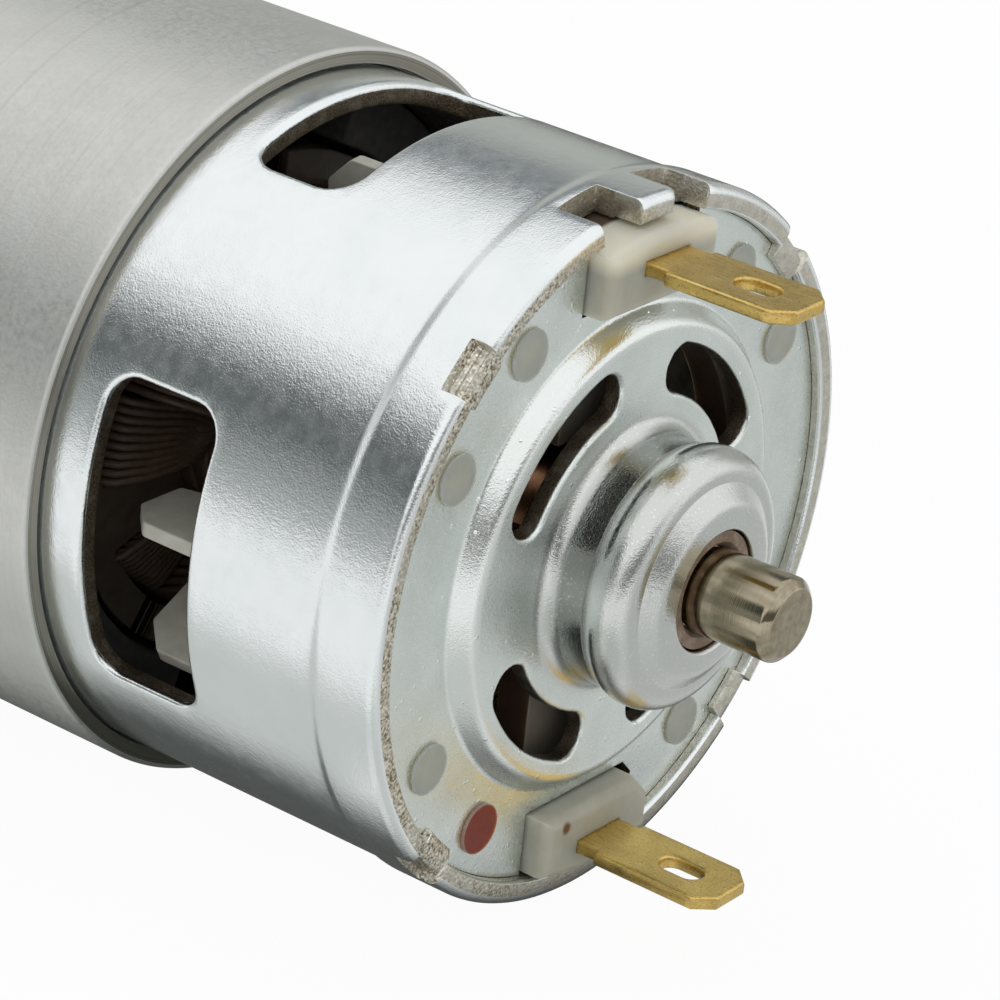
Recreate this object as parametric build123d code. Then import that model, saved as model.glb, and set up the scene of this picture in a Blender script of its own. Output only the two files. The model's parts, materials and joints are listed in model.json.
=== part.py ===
from build123d import *
import math
import os

os.makedirs("parts", exist_ok=True)

# Brushed direct-current motor with a shaft end on both sides. Millimetres and degrees; +Y runs along
# the output shaft, +Z up through the upper terminal, and the origin is the centre of the front face.
# Distances called "reach" or "rear" are measured forward from the rear rim of the can.

# Overrun of every cut past the face that it leaves
overrun = 1.0

# Can
can_radius = 21.0
can_wall = 1.4
body_length = 66.7
front_wall = 1.4
front_corner_radius = 1.8
inner_corner_radius = 0.8
rim_flare = 0.2
rim_length = 4.0
rim_blend = 0.6
rim_wall = 1.45

# Vent windows through the can wall, shorter on the terminal sides
window_reach = 13.5
window_length = 7.7
terminal_window_trim = 0.9
window_width = 17.9
window_corner_radius = 1.8

# Stakes that close the rim over the end plate
stake_count = 4
stake_width = 3.2
stake_dent = 0.55
stake_length = 1.3
stake_lug_reach = 0.75

# Two notches in the rim with a tongue between them, above the upper terminal
tongue_width = 2.9
notch_width = 3.4
notch_depth = 3.2

# Front boss, mounting screws and front vents
boss_wall = 0.73
boss_height = 4.6
boss_lip = 0.6
boss_lip_reach = 1.8
boss_corner_radius = 0.6
boss_blend_radius = 0.5
screw_spacing = 29.0
screw_tap_radius = 1.65
front_vent_radius_share = 0.453
front_vent_width = 3.2
front_vent_half_angle = 13.0
front_vent_offset = 27.0

# Flux ring
ring_thickness = 1.2
ring_fit = 0.05
ring_reach = 24.1
ring_setback = 4.6
ring_edge_radius = 0.3
ring_seam = 0.4
ring_seam_angle = -45.0

# End plate with its dish, vent slots and bush boss
plate_recess = 0.7
plate_thickness = 1.2
plate_fit = 0.04
dish_margin = 5.31
dish_height = 1.2
dish_slope = 0.9
dish_edge_radius = 0.9
dish_foot_radius = 0.5
slot_inner_share = 0.34
slot_outer_share = 0.8065
slot_half_angle = 28.6
slot_offset = 40.0
neck_wall = 1.1
neck_blend_radius = 1.0
neck_length = 2.5
shoulder_bulge = 0.4
shoulder_rise = 0.8
shoulder_round = 1.5
ledge_height = 5.4
ledge_width = 0.15
nose_height = 6.3
nose_wall = 0.8
dome_corner_share = 0.56
dome_corner_drop = 0.15
dome_round_share = 0.59
lip_round = 0.25
cut_out_clearance = 0.15

# Rear bush, oil felt and retainer
bush_sphere_radius = 4.4
bush_seat_gap = 0.04
bush_front_share = 0.568
bush_nose_wall = 0.95
bush_nose_clearance = 0.1
bush_nose_recess = 0.35
bush_bore_chamfer = 0.3
felt_gap = 0.08
felt_thickness = 1.64
retainer_thickness = 0.4
retainer_rise = 0.9
retainer_gap = 0.15
retainer_notch_count = 6
retainer_notch_width = 1.4
retainer_notch_depth = 1.1

# Shaft
shaft_radius = 2.5
shaft_front_length = 17.0
shaft_rear_length = 11.8
shaft_chamfer = 0.5
relief_width = 0.7
relief_depth = 0.2
relief_lead = 0.05
running_clearance = 0.02
press_gap = 0.01

# Front ball bearing
bearing_radius = 8.0
bearing_width = 5.0
seat_gap = 0.02
ball_radius = 1.3
ball_count = 7
ball_clearance = 0.05
land_gap = 0.9
cage_wall = 1.0
cage_length = 3.0
shield_thickness = 0.3
shield_depth = 0.2
shield_gap = 0.15
shield_seat = 0.45
shield_recess_gap = 0.03

# Magnets and the spring clips between them
magnet_thickness = 3.65
magnet_glue = 0.05
magnet_half_angle = 70.0
magnet_overhang = 1.2
clip_wire_radius = 0.8
clip_gap = 0.05
clip_end_gap = 4.0
clip_bend_radius = 2.2

# Armature core and end insulators
pole_count = 5
air_gap = 0.5
core_hub_share = 0.4545
tooth_width_share = 0.2987
tip_thickness_share = 0.1429
slot_opening = 2.2
insulator_thickness = 0.6
sleeve_wall = 0.8

# Coils, each lying in two slots and stepping over one, with their end turns in layers
coil_span = 2
coil_layer = 1.1
coil_layer_gap = 0.1
coil_insulation = 0.35
coil_split = 0.3
coil_hub_gap = 0.5
coil_tip_gap = 0.4
coil_sleeve_gap = 0.3
coil_fan_gap = 2.5

# Commutator
commutator_hub_wall = 1.44
commutator_bar_thickness = 1.0
commutator_lead = 0.7
commutator_slit = 0.5
commutator_bond = 0.05
collar_radius = 3.4
riser_height = 1.4
riser_width = 2.2
riser_length = 1.2
riser_gap = 0.08

# Thrust washers and front spacer
washer_count = 2
washer_radius = 3.5
washer_thickness = 0.4
washer_gap = 0.1
end_play = 0.3
spacer_length = 2.2

# Cooling fan
fan_rear_gap = 0.4
fan_hub_radius = 5.6
fan_hub_length = 6.0
blade_count = 13
fan_gap = 1.4
blade_length = 8.8
blade_thickness = 0.9
blade_chamfer = 1.7
blade_front_width = 3.3
blade_spoke_length = 2.6
blade_root = 0.6

# Brush base with its terminal blocks and staked pins
base_fit = 0.1
base_thickness = 2.2
base_ring_width = 6.5
block_width = 9.8
block_depth = 4.46
block_rise = 1.0
block_edge_radius = 0.7
block_key = 1.4
block_key_gap = 0.5
pad_width = 8.4
pin_inset = 2.51
pin_radius = 1.25
pin_head_radius = 1.5
pin_head_height = 0.25
pin_hole_gap = 0.05
pin_head_gap = 0.02
pin_offsets = (34.0, 60.0)

# Terminals
terminal_inset = 2.01
terminal_thickness = 0.8
tab_width = 4.8
tab_tip = 10.3
tab_neck_width = 4.0
tab_neck_length = 1.4
tab_corner = 1.1
tab_hole_length = 2.8
tab_hole_width = 1.6
tab_hole_centre = 6.85
terminal_foot = 4.2
terminal_slot_gap = 0.06

# Brushes, boxes, springs and pigtails
brush_width = 4.7
brush_depth = 5.3
brush_face_gap = 0.1
brush_side_gap = 0.06
box_wall = 0.4
box_gap = 0.5
spring_gap = 0.05
spring_length = 4.2
spring_radius = 1.75
spring_wire_radius = 0.22
spring_turns = 4
pigtail_radius = 0.55

# Worked-out radii of the rear bush and its boss
bush_bore = shaft_radius + running_clearance
bush_nose_radius = bush_bore + bush_nose_wall
bush_front_length = bush_front_share * bush_sphere_radius
nose_opening_radius = bush_nose_radius + bush_nose_clearance
felt_inner_radius = bush_sphere_radius + felt_gap
felt_outer_radius = felt_inner_radius + felt_thickness
neck_bore = felt_outer_radius + felt_gap
neck_radius = neck_bore + neck_wall
shoulder_radius = neck_radius + shoulder_bulge
ledge_radius = shoulder_radius - shoulder_round
ledge_inner_radius = ledge_radius - ledge_width
dome_width = ledge_inner_radius - nose_opening_radius
dome_corner_radius = nose_opening_radius + dome_corner_share * dome_width
dome_round = dome_round_share * dome_width

# Worked-out radii of the can, the end plate and the ball bearing
rim_radius = can_radius + rim_flare
rim_inner_radius = rim_radius - rim_wall
can_inner_radius = can_radius - can_wall
plate_radius = rim_inner_radius - plate_fit
dish_radius = plate_radius - dish_margin
dish_top_radius = dish_radius - dish_slope
dish_inset = plate_thickness * (math.hypot(dish_slope, dish_height) - dish_slope) / dish_height
slot_inner_radius = neck_radius + slot_inner_share * (dish_top_radius - neck_radius)
slot_outer_radius = neck_radius + slot_outer_share * (dish_top_radius - neck_radius)
boss_radius = bearing_radius + seat_gap + boss_wall
boss_opening_radius = bearing_radius - boss_lip_reach
front_vent_radius = boss_radius + front_vent_radius_share * (can_radius - boss_radius)
ball_pitch_radius = (shaft_radius + bearing_radius) / 2
inner_land_radius = ball_pitch_radius - land_gap
outer_land_radius = ball_pitch_radius + land_gap
cage_inner_radius = ball_pitch_radius - cage_wall / 2
cage_outer_radius = ball_pitch_radius + cage_wall / 2
shield_outer_radius = outer_land_radius + shield_seat

# Worked-out radii of the magnets, the rotor and the brush gear
magnet_outer_radius = can_inner_radius - magnet_glue
magnet_inner_radius = magnet_outer_radius - magnet_thickness
core_radius = magnet_inner_radius - air_gap
core_hub_radius = core_hub_share * core_radius
tooth_width = tooth_width_share * core_radius
tip_thickness = tip_thickness_share * core_radius
coil_leg_inner_radius = core_hub_radius + coil_hub_gap
coil_leg_outer_radius = core_radius - tip_thickness - coil_tip_gap
coil_turn_inner_radius = shaft_radius + sleeve_wall + coil_sleeve_gap
coil_turn_outer_radius = coil_leg_inner_radius - coil_sleeve_gap
commutator_hub_radius = shaft_radius + press_gap + commutator_hub_wall
commutator_core_radius = commutator_hub_radius + commutator_bond
commutator_radius = commutator_core_radius + commutator_bar_thickness
blade_outer_radius = can_inner_radius - fan_gap
base_radius = can_inner_radius - base_fit
pin_circle_radius = plate_radius - pin_inset
block_inner = plate_radius - block_depth
block_half = block_width / 2
terminal_inner = plate_radius - terminal_inset - terminal_thickness / 2
box_inner = commutator_radius + riser_height + box_gap
brush_face = commutator_radius + brush_face_gap
spring_outer = terminal_inner - box_wall - spring_gap
spring_inner = spring_outer - spring_length
brush_back = spring_inner - spring_gap

# Worked-out stations along Y, from the rear rim towards the front face
rear = -body_length
plate_rear = rear + plate_recess
plate_front = plate_rear + plate_thickness
dish_rear = plate_rear - dish_height
dish_front = dish_rear + plate_thickness
ledge_rear = dish_rear - ledge_height
nose_rear = dish_rear - nose_height
nose_front = nose_rear + nose_wall
bush_nose_end = nose_rear + bush_nose_recess
base_front = plate_front + base_thickness
block_rear = rear - block_rise
box_room_rear = base_front + box_wall
brush_rear = box_room_rear + brush_side_gap
brush_middle = brush_rear + brush_depth / 2
brush_front = brush_rear + brush_depth
box_front = brush_front + brush_side_gap + box_wall
commutator_rear = base_front - commutator_lead
commutator_front = box_front + riser_gap + riser_length
fan_rear = commutator_front + fan_rear_gap
coil_step = coil_layer + coil_layer_gap
overhang = insulator_thickness + pole_count * coil_step + coil_layer_gap
core_rear = fan_rear + fan_hub_length + coil_fan_gap + overhang
bearing_front = boss_height - boss_lip
bearing_rear = bearing_front - bearing_width
bearing_middle = bearing_front - bearing_width / 2
core_front = bearing_rear - spacer_length - overhang
magnet_rear = core_rear - magnet_overhang
magnet_front = core_front + magnet_overhang
shaft_front = boss_height + shaft_front_length
shaft_rear = rear - shaft_rear_length
pole_pitch = 360.0 / pole_count


def rounded(corners):
    """Face inside a closed outline, given as points with their rounding radii."""
    points = [point for point, radius in corners]
    radii = [radius for point, radius in corners]
    return make_face(FilletPolyline(*points, radius=radii, close=True))


def outline(*points):
    """Face inside a closed outline of straight sides."""
    return make_face(Polyline(*points, close=True))


def turned(face):
    """Solid of revolution about the shaft axis from a face in radius and Y."""
    return revolve(face, Axis.Y)


def tube(inner, outer, start, end):
    """Plain ring about the shaft axis between two stations."""
    return turned(outline((inner, start), (outer, start), (outer, end), (inner, end)))


def prism(sketch, start, end):
    """Solid from a sketch in X and Z, between two stations along Y."""
    station = Plane(origin=(0, end, 0), x_dir=(1, 0, 0), z_dir=(0, -1, 0))
    return extrude(station * sketch, amount=end - start)


def block(x_range, y_range, z_range):
    """Rectangular block from its ranges along X, Y and Z."""
    low = (x_range[0], z_range[0])
    high = (x_range[1], z_range[1])
    return prism(outline(low, (high[0], low[1]), high, (low[0], high[1])), *y_range)


def sector(inner, outer, centre, half):
    """Ring segment in X and Z about a centre angle from +X towards +Z."""
    inner_arc = CenterArc((0, 0), inner, centre - half, 2 * half)
    outer_arc = CenterArc((0, 0), outer, centre - half, 2 * half)
    sides = [Line(inner_arc @ 0, outer_arc @ 0), Line(inner_arc @ 1, outer_arc @ 1)]
    return make_face([inner_arc, outer_arc] + sides)


def arc_slot(radius, width, centre, half):
    """Curved slot with round ends; the half angle reaches to the end of the rounding."""
    arc_half = half - math.degrees(width / 2 / radius)
    return SlotArc(CenterArc((0, 0), radius, centre - arc_half, 2 * arc_half), width)


def around(solid, angles):
    """Copies of a solid turned about the shaft axis from +X towards +Z."""
    return [solid.rotate(Axis.Y, -angle) for angle in angles]


def evenly(count, first=0.0):
    """Angles of an even pattern round the axis."""
    return [first + 360.0 * index / count for index in range(count)]


def polar(radius, angle):
    """Point in X and Z from a radius and an angle."""
    return (radius * math.cos(math.radians(angle)), radius * math.sin(math.radians(angle)))


def motor_can():
    """Drawn cup with a front boss, windows, front vents and the staked, flared and notched rear rim."""
    seat_radius = bearing_radius + seat_gap
    cup = turned(rounded([
        ((rim_radius, rear), 0),
        ((rim_radius, rear + rim_length), 0),
        ((can_radius, rear + rim_length + rim_blend), 0),
        ((can_radius, 0), front_corner_radius),
        ((boss_radius, 0), boss_blend_radius),
        ((boss_radius, boss_height), boss_corner_radius),
        ((boss_opening_radius, boss_height), 0),
        ((boss_opening_radius, bearing_front), 0),
        ((seat_radius, bearing_front), 0),
        ((seat_radius, -front_wall), 0),
        ((can_inner_radius, -front_wall), inner_corner_radius),
        ((can_inner_radius, plate_front), 0),
        ((rim_inner_radius, plate_front), 0),
        ((rim_inner_radius, rear), 0),
    ]))
    for side, trim in ((0.0, 0.0), (90.0, terminal_window_trim)):
        length = window_length - trim
        window_side = Plane(
            origin=(can_radius / 2, rear + window_reach + trim + length / 2, 0),
            x_dir=(0, 1, 0),
            z_dir=(1, 0, 0),
        )
        window_shape = window_side * RectangleRounded(length, window_width, window_corner_radius)
        window = extrude(window_shape, amount=can_radius / 2 + overrun)
        cup -= around(window, evenly(2, side))
    vents = [
        arc_slot(front_vent_radius, front_vent_width, side + turn, front_vent_half_angle)
        for side in (90.0, 270.0)
        for turn in (-front_vent_offset, front_vent_offset)
    ]
    cup -= [prism(vent, -front_wall - overrun, overrun) for vent in vents]
    screw = Pos(screw_spacing / 2, 0) * Circle(screw_tap_radius)
    cup -= around(prism(screw, -front_wall - overrun, overrun), evenly(2))
    notch_inner = tongue_width / 2
    for side in (-1, 1):
        edges = sorted((side * notch_inner, side * (notch_inner + notch_width)))
        heights = (can_inner_radius - can_wall, can_radius + overrun)
        cup -= block(edges, (rear - overrun, rear + notch_depth), heights)
    half = stake_width / 2
    dent = block(
        (rim_radius - stake_dent, rim_radius + overrun),
        (rear - overrun, rear + stake_length),
        (-half, half),
    )
    stake_angles = evenly(stake_count, 180.0 / stake_count)
    cup -= around(dent, stake_angles)
    lug = block(
        (rim_inner_radius - stake_lug_reach, rim_radius - stake_dent),
        (rear, plate_rear - pin_head_gap),
        (-half, half),
    )
    for solid in around(lug, stake_angles):
        cup += solid
    return cup


def flux_ring():
    """Rolled steel sleeve round the can with a butt seam."""
    inner = can_radius + ring_fit
    outer = inner + ring_thickness
    start = rear + ring_reach
    end = -ring_setback
    sleeve = turned(rounded([
        ((inner, start), 0),
        ((outer, start), ring_edge_radius),
        ((outer, end), ring_edge_radius),
        ((inner, end), 0),
    ]))
    seam = block(
        (can_radius - overrun, outer + overrun),
        (start - overrun, end + overrun),
        (-ring_seam / 2, ring_seam / 2),
    )
    return sleeve - around(seam, [ring_seam_angle])


def block_outline(clearance, key=0.0):
    """Upper terminal block in X and Z, grown by a clearance, with one corner cut off by a key."""
    half = block_half + clearance
    low = block_inner - clearance
    corner = [(-half, low + key), (-half + key, low)] if key else [(-half, low)]
    return outline(*corner, (half, low), (half, can_radius), (-half, can_radius))


def pin_centres():
    """Centres of the staked pins in X and Z."""
    return [
        polar(pin_circle_radius, side + sign * offset)
        for side in (90.0, 270.0)
        for offset in pin_offsets
        for sign in (-1, 1)
    ]


def end_bell():
    """Pressed end plate: flat rim, raised dish with vent slots, and the drawn boss of the rear bush."""
    plate = turned(rounded([
        ((plate_radius, plate_rear), 0),
        ((dish_radius, plate_rear), dish_foot_radius),
        ((dish_top_radius, dish_rear), dish_edge_radius),
        ((neck_radius, dish_rear), neck_blend_radius),
        ((neck_radius, dish_rear - neck_length), lip_round),
        ((shoulder_radius, dish_rear - neck_length - shoulder_rise), shoulder_round),
        ((shoulder_radius, ledge_rear), shoulder_round),
        ((ledge_inner_radius, ledge_rear), 0),
        ((dome_corner_radius, nose_rear + dome_corner_drop), dome_round),
        ((nose_opening_radius, nose_rear), lip_round),
        ((nose_opening_radius, nose_front), 0),
        ((neck_bore, ledge_rear + nose_wall), 0),
        ((neck_bore, dish_front), dish_foot_radius),
        ((dish_top_radius - dish_inset, dish_front), dish_foot_radius),
        ((dish_radius - dish_inset, plate_front), dish_edge_radius),
        ((plate_radius, plate_front), 0),
    ]))
    cut_start = nose_rear - overrun
    cut_end = plate_front + overrun
    slot_radius = (slot_inner_radius + slot_outer_radius) / 2
    slot_width = slot_outer_radius - slot_inner_radius
    slots = [
        arc_slot(slot_radius, slot_width, side + turn, slot_half_angle)
        for side in (90.0, 270.0)
        for turn in (-slot_offset, slot_offset)
    ]
    plate -= [prism(slot, cut_start, cut_end) for slot in slots]
    plate -= prism(block_outline(cut_out_clearance), cut_start, cut_end)
    lower = block_outline(cut_out_clearance, block_key - block_key_gap)
    plate -= around(prism(lower, cut_start, cut_end), [180.0])
    hole = Circle(pin_radius + pin_hole_gap)
    plate -= [prism(Pos(*centre) * hole, cut_start, cut_end) for centre in pin_centres()]
    return plate


def bush_centre():
    """Station of the middle of the bush's ball, which rests on the cone inside the nose."""
    run = neck_bore - nose_opening_radius
    rise = ledge_rear + nose_wall - nose_front
    length = math.hypot(run, rise)
    reach = bush_sphere_radius + bush_seat_gap - nose_opening_radius * rise / length
    return nose_front + reach * length / run


def rear_bush():
    """Self-aligning sintered bush: a ball with a flat front, a nose in the opening and a bore."""
    middle = bush_centre()
    ball = Pos(0, middle, 0) * Sphere(bush_sphere_radius)
    nose = tube(0, bush_nose_radius, bush_nose_end, middle)
    keep = tube(0, bush_sphere_radius + overrun, bush_nose_end, middle + bush_front_length)
    bush = (ball & keep) + nose
    bush -= tube(0, bush_bore, bush_nose_end - overrun, middle + bush_sphere_radius)
    circles = bush.edges().filter_by(GeomType.CIRCLE)
    bore_edges = [edge for edge in circles if math.isclose(edge.radius, bush_bore)]
    return chamfer(bore_edges, bush_bore_chamfer)


def retainer_front():
    """Station of the inner front edge of the retainer, on the front of the bush."""
    inner = retainer_inner_radius()
    return bush_centre() + math.sqrt(bush_sphere_radius**2 - inner**2) + retainer_gap + retainer_thickness


def retainer_inner_radius():
    """Inner radius of the retainer, just outside the flat front of the bush."""
    return math.sqrt(bush_sphere_radius**2 - bush_front_length**2) + retainer_gap


def oil_felt():
    """Felt ring that fills the bore of the boss round the bush, up to the retainer."""
    start = ledge_rear + nose_wall + felt_gap
    end = retainer_front() - retainer_thickness - retainer_rise - felt_gap
    return tube(felt_inner_radius, felt_outer_radius, start, end)


def bush_retainer():
    """Dished spring washer with a notched edge that holds the bush in the boss."""
    inner = retainer_inner_radius()
    outer = felt_outer_radius
    front = retainer_front()
    washer = turned(outline(
        (inner, front - retainer_thickness),
        (outer, front - retainer_thickness - retainer_rise),
        (outer, front - retainer_rise),
        (inner, front),
    ))
    half = retainer_notch_width / 2
    notch = block(
        (outer - retainer_notch_depth, outer + overrun),
        (front - retainer_rise - retainer_thickness - overrun, front + overrun),
        (-half, half),
    )
    return washer - around(notch, evenly(retainer_notch_count))


def shaft():
    """Ground shaft with chamfered ends and a grinding relief under the outer edge of each bearing."""
    tip = shaft_radius - shaft_chamfer
    bar = turned(outline(
        (0, shaft_rear),
        (tip, shaft_rear),
        (shaft_radius, shaft_rear + shaft_chamfer),
        (shaft_radius, shaft_front - shaft_chamfer),
        (tip, shaft_front),
        (0, shaft_front),
    ))
    relief_radius = shaft_radius - relief_depth
    rear_start = bush_nose_end - relief_lead
    front_end = bearing_front + relief_lead
    bar -= tube(relief_radius, shaft_radius + overrun, rear_start, rear_start + relief_width)
    bar -= tube(relief_radius, shaft_radius + overrun, front_end - relief_width, front_end)
    return bar


def ball_groove():
    """Ring-shaped groove that the balls run in, with their clearance."""
    ring = Torus(ball_pitch_radius, ball_radius + ball_clearance)
    return Pos(0, bearing_middle, 0) * Rot(90, 0, 0) * ring


def bearing_inner_race():
    """Inner race on the shaft."""
    return tube(shaft_radius + press_gap, inner_land_radius, bearing_rear, bearing_front) - ball_groove()


def bearing_outer_race():
    """Outer race with a recess for a shield on each side."""
    race = tube(outer_land_radius, bearing_radius, bearing_rear, bearing_front) - ball_groove()
    recess = shield_outer_radius + shield_recess_gap
    deep = shield_depth + shield_thickness + shield_recess_gap
    race -= tube(0, recess, bearing_front - deep, bearing_front + overrun)
    race -= tube(0, recess, bearing_rear - overrun, bearing_rear + deep)
    return race


def bearing_shields():
    """Two thin shields that close the bearing's sides."""
    inner = inner_land_radius + shield_gap
    front = bearing_front - shield_depth
    behind = bearing_rear + shield_depth
    return [
        tube(inner, shield_outer_radius, front - shield_thickness, front),
        tube(inner, shield_outer_radius, behind, behind + shield_thickness),
    ]


def bearing_balls():
    """Balls of the front bearing."""
    ball = Pos(ball_pitch_radius, bearing_middle, 0) * Sphere(ball_radius)
    return around(ball, evenly(ball_count))


def bearing_cage():
    """Ring with a round pocket for each ball."""
    half = cage_length / 2
    ring = tube(cage_inner_radius, cage_outer_radius, bearing_middle - half, bearing_middle + half)
    side = Plane(origin=(0, bearing_middle, 0), x_dir=(0, 1, 0), z_dir=(1, 0, 0))
    pocket = extrude(side * Circle(ball_radius + ball_clearance), amount=cage_outer_radius + overrun)
    return ring - around(pocket, evenly(ball_count))


def magnet(centre):
    """Arc magnet glued to the inside of the can."""
    arc = sector(magnet_inner_radius, magnet_outer_radius, centre, magnet_half_angle)
    return prism(arc, magnet_rear, magnet_front)


def magnet_clip():
    """Bent wire that presses the upper edges of the two magnets apart."""
    mid_radius = (magnet_inner_radius + can_inner_radius) / 2
    edge_x, edge_z = polar(mid_radius, magnet_half_angle)
    lift_x, lift_z = polar(clip_wire_radius + clip_gap, magnet_half_angle + 90.0)
    leg_x = edge_x + lift_x
    leg_z = edge_z + lift_z
    start = magnet_rear + clip_end_gap
    end = magnet_front - clip_end_gap
    corners = [(leg_x, start, leg_z), (leg_x, end, leg_z), (-leg_x, end, leg_z), (-leg_x, start, leg_z)]
    path = FilletPolyline(*corners, radius=clip_bend_radius)
    section = Plane(origin=corners[0], z_dir=(0, 1, 0)) * Circle(clip_wire_radius)
    return sweep(section, path=path)


def pole_angles():
    """Centre angles of the armature slots, the first one at the top."""
    return evenly(pole_count, 90.0)


def tooth_side(reach, clearance):
    """Half width of a slot at a reach from the axis along the slot's centre line, short of the tooth."""
    half_pitch = math.radians(pole_pitch / 2)
    return (reach * math.sin(half_pitch) - tooth_width / 2 - clearance) / math.cos(half_pitch)


def core_sketch():
    """Lamination outline: hub, parallel teeth and pole tips."""
    half_pitch = math.radians(pole_pitch / 2)
    apex = tooth_width / 2 / math.sin(half_pitch)
    far_half = tooth_side(core_radius, 0)
    wedge = outline((apex, 0), (core_radius, far_half), (core_radius, -far_half))
    slot = (Circle(core_radius - tip_thickness) - Circle(core_hub_radius)) & wedge
    half = slot_opening / 2
    slot += outline((core_hub_radius, -half), (core_radius + overrun, -half), (core_radius + overrun, half),
                    (core_hub_radius, half))
    lamination = Circle(core_radius)
    for angle in pole_angles():
        lamination -= Rot(0, 0, angle) * slot
    return lamination


def armature_core():
    """Stack of laminations on the shaft."""
    return prism(core_sketch() - Circle(shaft_radius + press_gap), core_rear, core_front)


def insulator(face, direction):
    """End insulator: a sheet of the lamination's outline with a sleeve along the shaft."""
    bore = Circle(shaft_radius + press_gap)
    sheet_end = face + direction * insulator_thickness
    sleeve_end = face + direction * overhang
    sheet = prism(core_sketch() - bore, *sorted((face, sheet_end)))
    sleeve = prism(Circle(shaft_radius + sleeve_wall) - bore, *sorted((face, sleeve_end)))
    return sheet + sleeve


def coil_leg(sign):
    """Half of a slot filled with wire, in slot coordinates, on one side of the slot's centre line."""
    near = sign * coil_split / 2
    inner = coil_leg_inner_radius
    outer = coil_leg_outer_radius
    corners = [
        (inner, near),
        (outer, near),
        (outer, sign * tooth_side(outer, coil_insulation)),
        (inner, sign * tooth_side(inner, coil_insulation)),
    ]
    return outline(*corners) & Circle(outer)


def coil_arm(sign):
    """Part of an end turn that leads from a slot inwards to the shaft."""
    near = sign * coil_split / 2
    far = sign * tooth_side(coil_leg_inner_radius, coil_insulation)
    middle = (coil_turn_inner_radius + coil_turn_outer_radius) / 2
    inner = coil_leg_inner_radius + coil_layer_gap
    return outline((middle, near), (inner, near), (inner, far), (middle, far))


def coil(index):
    """One wound coil: two legs in slots and an end turn in its own layer at each end of the core."""
    first = pole_angles()[index]
    last = first + coil_span * pole_pitch
    legs = Rot(0, 0, first) * coil_leg(1) + Rot(0, 0, last) * coil_leg(-1)
    arms = Rot(0, 0, first) * coil_arm(1) + Rot(0, 0, last) * coil_arm(-1)
    middle = (first + last) / 2
    spread = coil_span * pole_pitch / 2 - math.degrees(coil_split / coil_turn_inner_radius)
    turn = sector(coil_turn_inner_radius, coil_turn_outer_radius, middle, spread) + arms + legs
    reach = insulator_thickness + coil_layer_gap + index * coil_step
    rear_turn = core_rear - reach
    front_turn = core_front + reach
    wound = prism(legs, rear_turn, front_turn)
    wound += prism(turn, rear_turn - coil_layer, rear_turn)
    wound += prism(turn, front_turn, front_turn + coil_layer)
    return wound


def commutator_hub():
    """Moulded hub under the commutator bars, with a collar towards the rear bush."""
    bore = shaft_radius + press_gap
    collar_rear = washer_start(washer_count)
    return turned(outline(
        (bore, collar_rear),
        (collar_radius, collar_rear),
        (collar_radius, commutator_rear),
        (commutator_hub_radius, commutator_rear),
        (commutator_hub_radius, commutator_front),
        (bore, commutator_front),
    ))


def commutator_bar(index):
    """Copper bar with a riser at its front end for the coil's wires."""
    centre = pole_angles()[index] + pole_pitch / 2
    half = pole_pitch / 2 - math.degrees(commutator_slit / 2 / commutator_radius)
    bar = prism(
        sector(commutator_core_radius, commutator_radius, centre, half), commutator_rear, commutator_front
    )
    riser_half = math.degrees(riser_width / 2 / commutator_radius)
    riser = sector(commutator_core_radius, commutator_radius + riser_height, centre, riser_half)
    return bar + prism(riser, commutator_front - riser_length, commutator_front)


def washer_start(index):
    """Station of the rear face of a thrust washer, counted from the bush."""
    return bush_centre() + bush_front_length + end_play + index * (washer_thickness + washer_gap)


def thrust_washers():
    """Washers between the commutator's collar and the rear bush."""
    bore = shaft_radius + running_clearance
    starts = [washer_start(index) for index in range(washer_count)]
    return [tube(bore, washer_radius, start, start + washer_thickness) for start in starts]


def front_spacer():
    """Sleeve between the front insulator and the ball bearing."""
    return tube(shaft_radius + press_gap, inner_land_radius, core_front + overhang, bearing_rear)


def cooling_fan():
    """Moulded hub with open radial blades."""
    start = fan_rear
    tip_front = start + blade_length
    blade_inner_radius = blade_outer_radius - blade_chamfer - blade_front_width
    fan = tube(shaft_radius + press_gap, fan_hub_radius, start, start + fan_hub_length)
    profile = outline(
        (fan_hub_radius - blade_root, start),
        (blade_outer_radius, start),
        (blade_outer_radius, tip_front - blade_chamfer),
        (blade_outer_radius - blade_chamfer, tip_front),
        (blade_inner_radius, tip_front),
        (blade_inner_radius - blade_chamfer, start + blade_spoke_length),
        (fan_hub_radius - blade_root, start + blade_spoke_length),
    )
    blade = extrude(profile, amount=blade_thickness / 2, both=True)
    for solid in around(blade, evenly(blade_count, 180.0 / blade_count)):
        fan += solid
    return fan


def terminal_block(key=0.0):
    """Terminal block in the upper place, rounded where it stands out of the end plate."""
    solid = prism(block_outline(0, key) & Circle(base_radius), block_rear, base_front)
    rear_edges = solid.faces().sort_by(Axis.Y)[0].edges()
    return fillet(rear_edges, block_edge_radius)


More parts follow.
